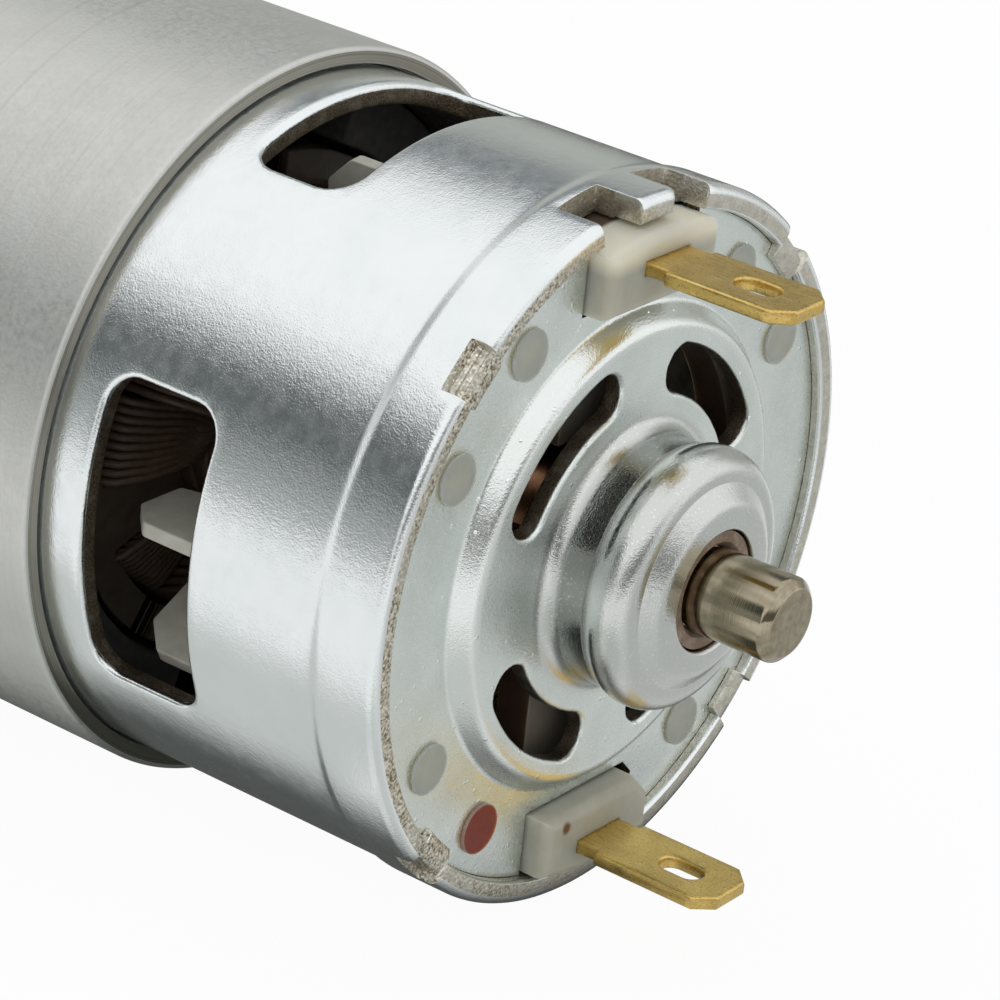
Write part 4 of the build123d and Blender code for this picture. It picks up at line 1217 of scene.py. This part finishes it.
def tab_mesh(node):
    """Brass terminal: chamfered tab with a slot hole, a neck through the block and a foot."""
    low, high = (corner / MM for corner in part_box(node))
    half, neck, chamfer = sizes()["tab_width"] / 2, 2.0, 1.1
    tip, shoulder, neck_middle, foot = low.y, REAR - 2.4, REAR - 1.0, high.y
    hole_middle, hole_reach, hole_half, hole_long = REAR - 6.85, 1.9, 0.8, 1.4
    rows = [tip, tip + 0.35, tip + 0.7, tip + chamfer, tip + 1.55]
    rows += [hole_middle - hole_reach + 2 * hole_reach * index / 8 for index in range(9)]
    rows += [REAR - 4.0, REAR - 3.2, shoulder]
    shares = [-1.0, -neck / half, -0.6, -0.4, -0.2, 0.0, 0.2, 0.4, 0.6, neck / half, 1.0]
    block = 1, 9, 5, 13

    def wide(y):
        return half - max(0.0, chamfer - (y - tip))

    faces = []
    for j, (start, end) in enumerate(zip(rows, rows[1:])):
        for i, (left, right) in enumerate(zip(shares, shares[1:])):
            if not covered([block], len(shares), i, j):
                corners = (left, start), (right, start), (right, end), (left, end)
                faces.append([(share * wide(y), y) for share, y in corners])
    for pair in zip(shares, shares[1:]):
        left, right = (max(-neck, min(neck, share * half)) for share in pair)
        for start, end in ((shoulder, neck_middle), (neck_middle, foot)):
            if right - left > 0.01:
                faces.append([(left, start), (right, start), (right, end), (left, end)])
    skin, work = Skin(), Skin()
    for face in faces:
        work.face([Vector((x, y, low.z)) for x, y in face])
    outline = rounded_outline(hole_half, hole_long, hole_half - SHORT_RUN, side_counts(block), 0.0, (0.49, 0.4))
    hole = [Vector((s, hole_middle + t)) for s, t in outline]
    border = [Vector(at) for at in frame_of([share * half for share in shares], rows, *block)]
    work.rows([[Vector((*p.lerp(q, part), low.z)) for p, q in zip(border, hole)] for part in (0.0, 0.5, 1.0)])
    flat = bmesh.new()
    flat.from_mesh(work.mesh("tab_face"))
    thicken(skin, flat, Vector((0.0, 0.0, high.z - low.z)))
    return skin.mesh(node.replace("terminal", "tab"))


def fan_mesh():
    """Moulded fan: thirteen hooked blades round a hub with a rounded mouth."""
    low, high = (corner.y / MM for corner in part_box("cooling_fan"))
    tip = -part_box("cooling_fan")[0].x / MM
    blades, half_thick, root, web, hook = 13, 0.45, 5.0, low + 2.6, 1.7
    hub, hub_end, bore, mouth = 5.6, low + 6.0, sizes()["shaft_radius"] + 0.01, 0.4
    outline = profile([
        ((root, low), 0), ((tip, low), 0.3), ((tip, high - hook), 0.5), ((tip - hook, high), 0.4),
        ((13.2, high), 0.3), ((11.5, web), 0.8), ((root, web), 0),
    ], 30.0)
    blade = Skin()
    sides = [[Vector((radius, y, side)) for radius, y in outline] for side in (-half_thick, half_thick)]
    for side in sides:
        blade.face(side)
    blade.rows(sides)
    mesh = grown("fan", blade.mesh("blade"), around_shaft(), "fan_nylon", Count=blades, Start=math.pi / blades)
    core = Skin()
    turned = profile([((bore, low), 0), ((hub, low), 0.3), ((hub, hub_end), 0.5), ((bore + mouth, hub_end), 0),
                      ((bore, hub_end - mouth), 0), ((bore, low), 0)])
    lathe(core, turned, [index * 7.5 for index in range(48)])
    work = bmesh.new()
    for part in (mesh, core.mesh("hub")):
        work.from_mesh(part)
    work.to_mesh(mesh)
    work.free()
    return mesh


def winding_paths():
    """Closed paths of every turn of the five lap coils, each coil with its end turns in a layer of its own."""
    core = [corner.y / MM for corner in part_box("armature_core")]
    wire = sizes()["wire"]
    # Rows of wire in a slot: depth of the first, pitch and count, then the slot's foot, width, flare and liner
    first_row, row_pitch, row_count = 7.85, 0.66, 8
    slot_foot, slot_width, slot_flare, liner, off_middle = 7.5, 2.1, 0.7264, 0.2, 0.15
    # End turns: radius where they leave the slot, inmost radius, pitch and start angle, then their rise
    throat, inmost, turn_pitch, turn_start = 7.3, 3.92, 0.42, 16.0
    straight, lift_start, lift_coil, lift_column = 0.2, 0.9, 1.2, 0.6
    paths = []
    for coil in range(5):
        first, last = 90.0 + 72.0 * coil, 90.0 + 72.0 * (coil + 2)
        for row in range(row_count):
            deep = first_row + row_pitch * row
            wide = slot_width + slot_flare * (deep - slot_foot) - liner
            turn = inmost + turn_pitch * row
            columns = max(3, round(wide / wire))
            for column in range(columns):
                part = column / (columns - 1)
                aside = off_middle + wire / 2 + (wide - wire) * part
                out, lean = math.hypot(deep, aside), math.degrees(math.atan2(aside, deep))
                lift = lift_start + lift_coil * coil + lift_column * part
                path = []
                for face, sign in ((core[1], 1), (core[0], -1)):
                    y = face + sign * lift
                    half = [(out, lean, face + sign * straight)]
                    for bend in map(math.radians, (25.0, 50.0, 72.0, 90.0)):
                        rise = straight + (lift - straight) * math.sin(bend)
                        half.append((throat + (out - throat) * math.cos(bend), lean, face + sign * rise))
                    half += [(throat + (turn - throat) * share, lean + (turn_start - lean) * share, y)
                             for share in (0.35, 0.7, 0.95)]
                    half += [(turn, turn_start + 8.0 * step, y) for step in range(1, 7)]
                    there = [polar(radius, first + angle, station) for radius, angle, station in half]
                    back = [polar(radius, last - angle, station) for radius, angle, station in reversed(half)]
                    path += (there + [polar(turn, (first + last) / 2, y)] + back)[::sign]
                paths.append(path)
    return paths


def lead_paths(node):
    """Strands of a stranded lead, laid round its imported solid's middle line."""
    low, high = (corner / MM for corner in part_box(node))
    middle = (low + high) / 2
    strands, offset, twist = 6, 0.36, 15.0

    def along(part):
        return Vector((middle.x, middle.y, low.z + (high.z - low.z) * part))

    paths = [[along(step / 12) for step in range(13)]]
    for strand in range(strands):
        angles = [math.radians(360.0 / strands * strand + twist * step) for step in range(25)]
        paths.append([along(step / 24) + Vector((math.cos(angle), math.sin(angle), 0.0)) * offset
                      for step, angle in enumerate(angles)])
    return paths


def shorten(piece, node, side):
    """Gives a spring or lead its own copy of its mesh."""
    low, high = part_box(node)
    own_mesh(piece)


class MOTOR_OT_can(bpy.types.Operator):
    """Builds the drawn can with its windows, stakes, notches, front vents and boss"""

    bl_idname = "motor.can"
    bl_label = "Can"

    def execute(self, context):
        names = ("bright_zinc", "cut_steel", "dull_inside", "sheared_rim")
        show(can_mesh(), "can", names, "housing", "zinc_plate", ["motor_can"], 0.12, 42.0)
        return {"FINISHED"}


class MOTOR_OT_flux_ring(bpy.types.Operator):
    """Builds the rolled flux ring"""

    bl_idname = "motor.flux_ring"
    bl_label = "Flux ring"

    def execute(self, context):
        names = ("satin_ring", "turned_face")
        show(ring_mesh(), "flux_sleeve", names, "housing", "ring_steel", ["flux_ring"], 0.06, 50.0)
        return {"FINISHED"}


class MOTOR_OT_end_plate(bpy.types.Operator):
    """Builds the pressed end plate with its dish, slots and bush boss"""

    bl_idname = "motor.end_plate"
    bl_label = "End plate"

    def execute(self, context):
        names = ("satin_zinc", "cut_steel", "dull_inside")
        show(plate_mesh(), "end_plate", names, "housing", "zinc_plate", ["end_bell"], 0.08, 50.0)
        return {"FINISHED"}


class MOTOR_OT_shaft(bpy.types.Operator):
    """Builds the ground shaft"""

    bl_idname = "motor.shaft"
    bl_label = "Shaft"

    def execute(self, context):
        show(shaft_mesh(), "ground_shaft", ("ground_shaft",), "rotor", "ground_steel", ["shaft"], 0.02, 60.0)
        return {"FINISHED"}


class MOTOR_OT_tabs(bpy.types.Operator):
    """Builds the two brass tab terminals"""

    bl_idname = "motor.tabs"
    bl_label = "Terminal tabs"

    def execute(self, context):
        for node in ("terminal_top", "terminal_bottom"):
            mesh = tab_mesh(node)
            show(mesh, mesh.name, ("tab_brass",), "housing", "brass", [node], 0.14, 50.0)
        return {"FINISHED"}


class MOTOR_OT_rear_bush(bpy.types.Operator):
    """Builds the bush with its felt and its retaining washer"""

    bl_idname = "motor.rear_bush"
    bl_label = "Rear bush"

    def execute(self, context):
        soften("dull_bronze", 0.06, "rear_bush")
        soften("felt", 0.3, "oil_felt")
        soften("spring_steel", 0.05, "bush_retainer")
        return {"FINISHED"}


class MOTOR_OT_brush_base(bpy.types.Operator):
    """Builds the nylon base with its terminal blocks and staked pins"""

    bl_idname = "motor.brush_base"
    bl_label = "Brush base"

    def execute(self, context):
        soften("base_nylon", 0.12, "brush_base")
        return {"FINISHED"}


class MOTOR_OT_brush_gear(bpy.types.Operator):
    """Builds the brushes with their boxes, springs and stranded leads"""

    bl_idname = "motor.brush_gear"
    bl_label = "Brush gear"

    def execute(self, context):
        tree = round_wire()
        for side in ("top", "bottom"):
            soften("carbon", 0.12, "brush_" + side)
            soften("tab_brass", 0.1, "brush_box_" + side)
            spring, lead = "brush_spring_" + side, "pigtail_" + side
            piece = show(packed_copy(spring), spring + "_piece", ("spring_steel",), *place_of(spring), [spring])
            shorten(piece, spring, side)
            mesh = grown("lead_" + side, wires(lead_paths(lead), False), tree, "copper",
                         Diameter=0.37 * MM, Sides=6, Smoothness=1)
            shorten(show(mesh, mesh.name, ("copper",), *place_of(lead), [lead]), lead, side)
        return {"FINISHED"}


class MOTOR_OT_magnets(bpy.types.Operator):
    """Builds the two arc magnets and the clips between them"""

    bl_idname = "motor.magnets"
    bl_label = "Magnets"

    def execute(self, context):
        soften("ferrite", 0.3, "magnet_left", "magnet_right")
        soften("spring_steel", 0.08, "magnet_clip_top", "magnet_clip_bottom")
        return {"FINISHED"}


class MOTOR_OT_armature(bpy.types.Operator):
    """Builds the laminated core with its end insulators"""

    bl_idname = "motor.armature"
    bl_label = "Armature"

    def execute(self, context):
        soften("stacked_core", 0.06, "armature_core")
        soften("insulation", 0.1, "insulator_rear", "insulator_front")
        return {"FINISHED"}


class MOTOR_OT_windings(bpy.types.Operator):
    """Winds the five coils, turn by turn"""

    bl_idname = "motor.windings"
    bl_label = "Windings"

    def execute(self, context):
        coils = [f"coil_{number}" for number in range(1, 6)]
        mesh = grown("windings", wires(winding_paths(), True), round_wire(), "enamel_wire",
                     Diameter=sizes()["wire"] * MM, Sides=5, Smoothness=1)
        show(mesh, "windings", ("enamel_wire",), *place_of(coils[0]), coils)
        return {"FINISHED"}


class MOTOR_OT_commutator(bpy.types.Operator):
    """Builds the commutator's bars, hub and thrust washers"""

    bl_idname = "motor.commutator"
    bl_label = "Commutator"

    def execute(self, context):
        soften("worn_copper", 0.08, *[f"commutator_bar_{number}" for number in range(1, 6)])
        soften("phenolic", 0.15, "commutator_hub")
        soften("bearing_steel", 0.06, "thrust_washers")
        return {"FINISHED"}


class MOTOR_OT_fan(bpy.types.Operator):
    """Builds the moulded cooling fan"""

    bl_idname = "motor.fan"
    bl_label = "Cooling fan"

    def execute(self, context):
        show(fan_mesh(), "fan", ("fan_nylon",), *place_of("cooling_fan"), ["cooling_fan"], 0.1, 40.0)
        return {"FINISHED"}


class MOTOR_OT_front_bearing(bpy.types.Operator):
    """Builds the front ball bearing and its spacer"""

    bl_idname = "motor.front_bearing"
    bl_label = "Front bearing"

    def execute(self, context):
        soften("bearing_steel", 0.12, "bearing_outer_race", "bearing_inner_race", "front_spacer")
        soften("shield_steel", 0.04, "bearing_shields")
        dress("bearing_steel", "bearing_balls", "bearing_cage")
        return {"FINISHED"}


def bare_tree(owner):
    """Empty node tree of a new material or world."""
    owner.use_nodes = True
    owner.node_tree.nodes.clear()
    return owner.node_tree


def end_mix(tree, share, first, second, end="ShaderNodeOutputMaterial"):
    """Ends a tree with a mix of two shaders."""
    mix = add_node(tree, "ShaderNodeMixShader", {0: share, 1: first.outputs[0], 2: second.outputs[0]})
    add_node(tree, end, {0: mix.outputs[0]})


def white_share(tree, camera, mirror):
    """Share of plain white that camera rays and mirror or glass rays see."""
    rays = add_node(tree, "ShaderNodeLightPath").outputs
    glossy = calc(tree, "MAXIMUM", rays["Is Glossy Ray"], rays["Is Transmission Ray"])
    straight = calc(tree, "MULTIPLY", rays["Is Camera Ray"], camera)
    return calc(tree, "MAXIMUM", straight, calc(tree, "MULTIPLY", glossy, mirror))


def build_world():
    """Soft ambient light, with a white background."""
    world = bpy.data.worlds.new("studio")
    bpy.context.scene.world = world
    tree = bare_tree(world)
    white = (*colour("backdrop"), 1.0)
    shades = [add_node(tree, "ShaderNodeBackground", {0: white, 1: strength}) for strength in (0.62, 1.0)]
    end_mix(tree, white_share(tree, 1.0, 1.0), *shades, "ShaderNodeOutputWorld")


def build_floor():
    """Pale floor under the motor that is white to the camera and keeps a faint shadow."""
    reach = 3.0
    corners = ((-reach, -reach), (reach, -reach), (reach, reach), (-reach, reach))
    mesh = bpy.data.meshes.new("floor")
    mesh.from_pydata([(x, y, FLOOR) for x, y in corners], [], [(0, 1, 2, 3)])
    paper = bpy.data.materials.new("paper")
    tree = bare_tree(paper)
    lit = add_node(tree, "ShaderNodeBsdfDiffuse", {0: (0.9, 0.9, 0.9, 1.0)})
    white = add_node(tree, "ShaderNodeEmission", {0: (*colour("backdrop"), 1.0)})
    end_mix(tree, white_share(tree, 0.96, 0.75), lit, white)
    mesh.materials.append(paper)
    add_object("floor", mesh)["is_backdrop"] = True


def card_material(grey, soft_share):
    """Grey card with soft edges, from its own map."""
    card = bpy.data.materials.new("card")
    tree = bare_tree(card)
    place = add_node(tree, "ShaderNodeUVMap").outputs[0]
    axes = add_node(tree, "ShaderNodeSeparateXYZ", {0: place}).outputs
    soft = 1.0
    for axis in (0, 1):
        aside = calc(tree, "ABSOLUTE", calc(tree, "SUBTRACT", axes[axis], 0.5))
        inward = calc(tree, "DIVIDE", calc(tree, "SUBTRACT", 0.5, aside), soft_share)
        soft = calc(tree, "MULTIPLY", soft, calc(tree, "MINIMUM", inward, 1.0))
    clear = add_node(tree, "ShaderNodeBsdfTransparent")
    glow = add_node(tree, "ShaderNodeEmission", {0: (*grey, 1.0)})
    end_mix(tree, soft, clear, glow)
    return card


def build_card(name, place, grey, soft_share):
    """Grey card of a grid of points, seen only in reflections; place takes two shares of the card."""
    cells = 8
    shares = [(column / cells, row / cells) for row in range(cells + 1) for column in range(cells + 1)]
    starts = [row * (cells + 1) + column for row in range(cells) for column in range(cells)]
    mesh = bpy.data.meshes.new(name)
    mesh.from_pydata([place(*share) for share in shares], [],
                     [(start, start + 1, start + cells + 2, start + cells + 1) for start in starts])
    layer = mesh.uv_layers.new(name="UVMap")
    for loop in mesh.loops:
        layer.data[loop.index].uv = shares[loop.vertex_index]
    mesh.materials.append(card_material(grey, soft_share))
    card = add_object(name, mesh)
    for rays in ("camera", "diffuse", "shadow", "transmission"):
        setattr(card, "visible_" + rays, False)
    card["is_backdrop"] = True


def between(limits, share):
    """Value at a share of the way between two limits."""
    return limits[0] + (limits[1] - limits[0]) * share


def heading(azimuth, height):
    """Unit vector at an azimuth from +Y towards +X and a height, both in degrees."""
    turn, lift = math.radians(azimuth), math.radians(height)
    return Vector((math.cos(lift) * math.sin(turn), math.cos(lift) * math.cos(turn), math.sin(lift)))


def wall_card(name, azimuths, heights, grey, distance, soft_share=0.28):
    """Curved upright card between two azimuths and two heights."""
    middle = Vector((0.0, -0.05, 0.0))

    def place(across, upward):
        return middle + heading(between(azimuths, across), between(heights, upward)) * distance

    build_card(name, place, grey, soft_share)


def floor_card(name, x_limits, y_limits, grey, soft_share, layer=0):
    """Card just above the floor between limits in millimetres; a higher layer lies on a lower one."""
    height = FLOOR + (0.004 + 0.005 * layer) * MM

    def place(across, upward):
        return Vector((between(x_limits, across) * MM, between(y_limits, upward) * MM, height))

    build_card(name, place, grey, soft_share)


def build_light(name, azimuth, height, distance, wide, watts):
    """Soft square lamp aimed at the motor."""
    target = Vector((0.0, -0.04, 0.0))
    lamp = bpy.data.lights.new(name, "AREA")
    lamp.shape = "SQUARE"
    lamp.size = wide
    lamp.energy = watts
    way = heading(azimuth, height)
    light = add_object(name, lamp)
    light.location = target + way * distance
    light.rotation_euler = (-way).to_track_quat("-Z", "Y").to_euler()
    light.visible_glossy = False


def build_camera():
    """Camera at the photograph's place."""
    place = Vector((-0.1810, -0.18735, 0.1015))
    right = Vector((0.613, -0.784, 0.0967)).normalized()
    back = Vector((-0.741, -0.528, 0.415))
    back = (back - right * back.dot(right)).normalized()
    turn = Matrix((right, back.cross(right), back)).transposed()
    lens = bpy.data.cameras.new("camera")
    lens.lens = 155.5
    lens.sensor_width = 36.0
    lens.sensor_fit = "HORIZONTAL"
    lens.clip_start = 0.01
    camera = add_object("camera", lens)
    camera.matrix_world = Matrix.Translation(place) @ turn.to_4x4()
    bpy.context.scene.camera = camera


class MOTOR_OT_stage(bpy.types.Operator):
    """Builds the floor, the soft light, the reflection cards and the camera"""

    bl_idname = "motor.stage"
    bl_label = "Stage"

    def execute(self, context):
        context.scene.view_settings.view_transform = "Standard"
        build_world()
        build_floor()
        build_light("key_light", 10.0, 58.0, 0.7, 0.6, 1.1)
        build_light("fill_light", -120.0, 30.0, 0.8, 0.5, 0.5)
        wall_card("left_dark_card", (-105.0, -18.0), (10.0, 40.0), (0.09, 0.10, 0.10), 0.55)
        wall_card("left_grey_card", (-110.0, -20.0), (-6.0, 20.0), (0.36, 0.38, 0.37), 0.6, 0.15)
        wall_card("right_dark_card", (18.0, 100.0), (24.0, 50.0), (0.165, 0.18, 0.19), 0.55)
        wall_card("right_grey_card", (20.0, 120.0), (-16.0, 38.0), (0.44, 0.45, 0.42), 0.6, 0.15)
        floor_card("right_floor_card", (28.0, 560.0), (-60.0, 560.0), (0.13, 0.13, 0.12), 0.08)
        # Painted shadow: a grey card for the fading edge of the motor's shadow on the floor, seen only in
        # reflections.
        floor_card("painted_shadow_fade_card", (-44.0, -6.0), (-110.0, 40.0), (0.58, 0.60, 0.58), 0.14)
        floor_card("rear_floor_card", (-34.0, 330.0), (-330.0, -56.0), (0.58, 0.59, 0.58), 0.1)
        # Painted shadow: a dark card for the motor's shadow on the floor beneath it, seen only in reflections.
        floor_card("painted_shadow_card", (-20.5, 30.0), (-75.0, 5.0), (0.08, 0.085, 0.08), 0.1, 1)
        wall_card("front_dark_card", (-24.0, 20.0), (4.0, 44.0), (0.42, 0.43, 0.43), 0.58)
        wall_card("rear_dark_card", (-205.0, -105.0), (-12.0, 21.0), (0.17, 0.17, 0.16), 0.62)
        build_camera()
        return {"FINISHED"}


class MOTOR_PT_panel(bpy.types.Panel):
    """Lists the motor's pieces with their sizes and colours"""

    bl_idname = "MOTOR_PT_panel"
    bl_label = "Motor"
    bl_space_type = "VIEW_3D"
    bl_region_type = "UI"
    bl_category = "Motor"

    def draw(self, context):
        for operator in operators:
            self.layout.operator(operator.bl_idname)
        for group in (context.scene.motor_sizes, context.scene.motor_colours):
            box = self.layout.box()
            for name in type(group).__annotations__:
                box.prop(group, name)


operators = (
    MOTOR_OT_can, MOTOR_OT_flux_ring, MOTOR_OT_end_plate, MOTOR_OT_rear_bush, MOTOR_OT_brush_base,
    MOTOR_OT_tabs, MOTOR_OT_brush_gear, MOTOR_OT_magnets, MOTOR_OT_shaft, MOTOR_OT_armature,
    MOTOR_OT_windings, MOTOR_OT_commutator, MOTOR_OT_fan, MOTOR_OT_front_bearing, MOTOR_OT_stage,
)
classes = (MotorSizes, MotorColours) + operators + (MOTOR_PT_panel,)


def register():
    """Registers the classes and hangs the properties on the scene."""
    for item in classes:
        bpy.utils.register_class(item)
    bpy.types.Scene.motor_sizes = bpy.props.PointerProperty(type=MotorSizes)
    bpy.types.Scene.motor_colours = bpy.props.PointerProperty(type=MotorColours)


def unregister():
    """Takes the properties and the classes away again."""
    del bpy.types.Scene.motor_colours
    del bpy.types.Scene.motor_sizes
    for item in reversed(classes):
        bpy.utils.unregister_class(item)


def main():
    """Builds every piece in order."""
    register()
    for operator in operators:
        group, name = operator.bl_idname.split(".")
        getattr(getattr(bpy.ops, group), name)()
    boxes = {"cad": cad_box, "visual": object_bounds()}
    {key: [[float(value) for value in corner] for corner in box] for key, box in boxes.items()}


if __name__ == "__main__":
    main()
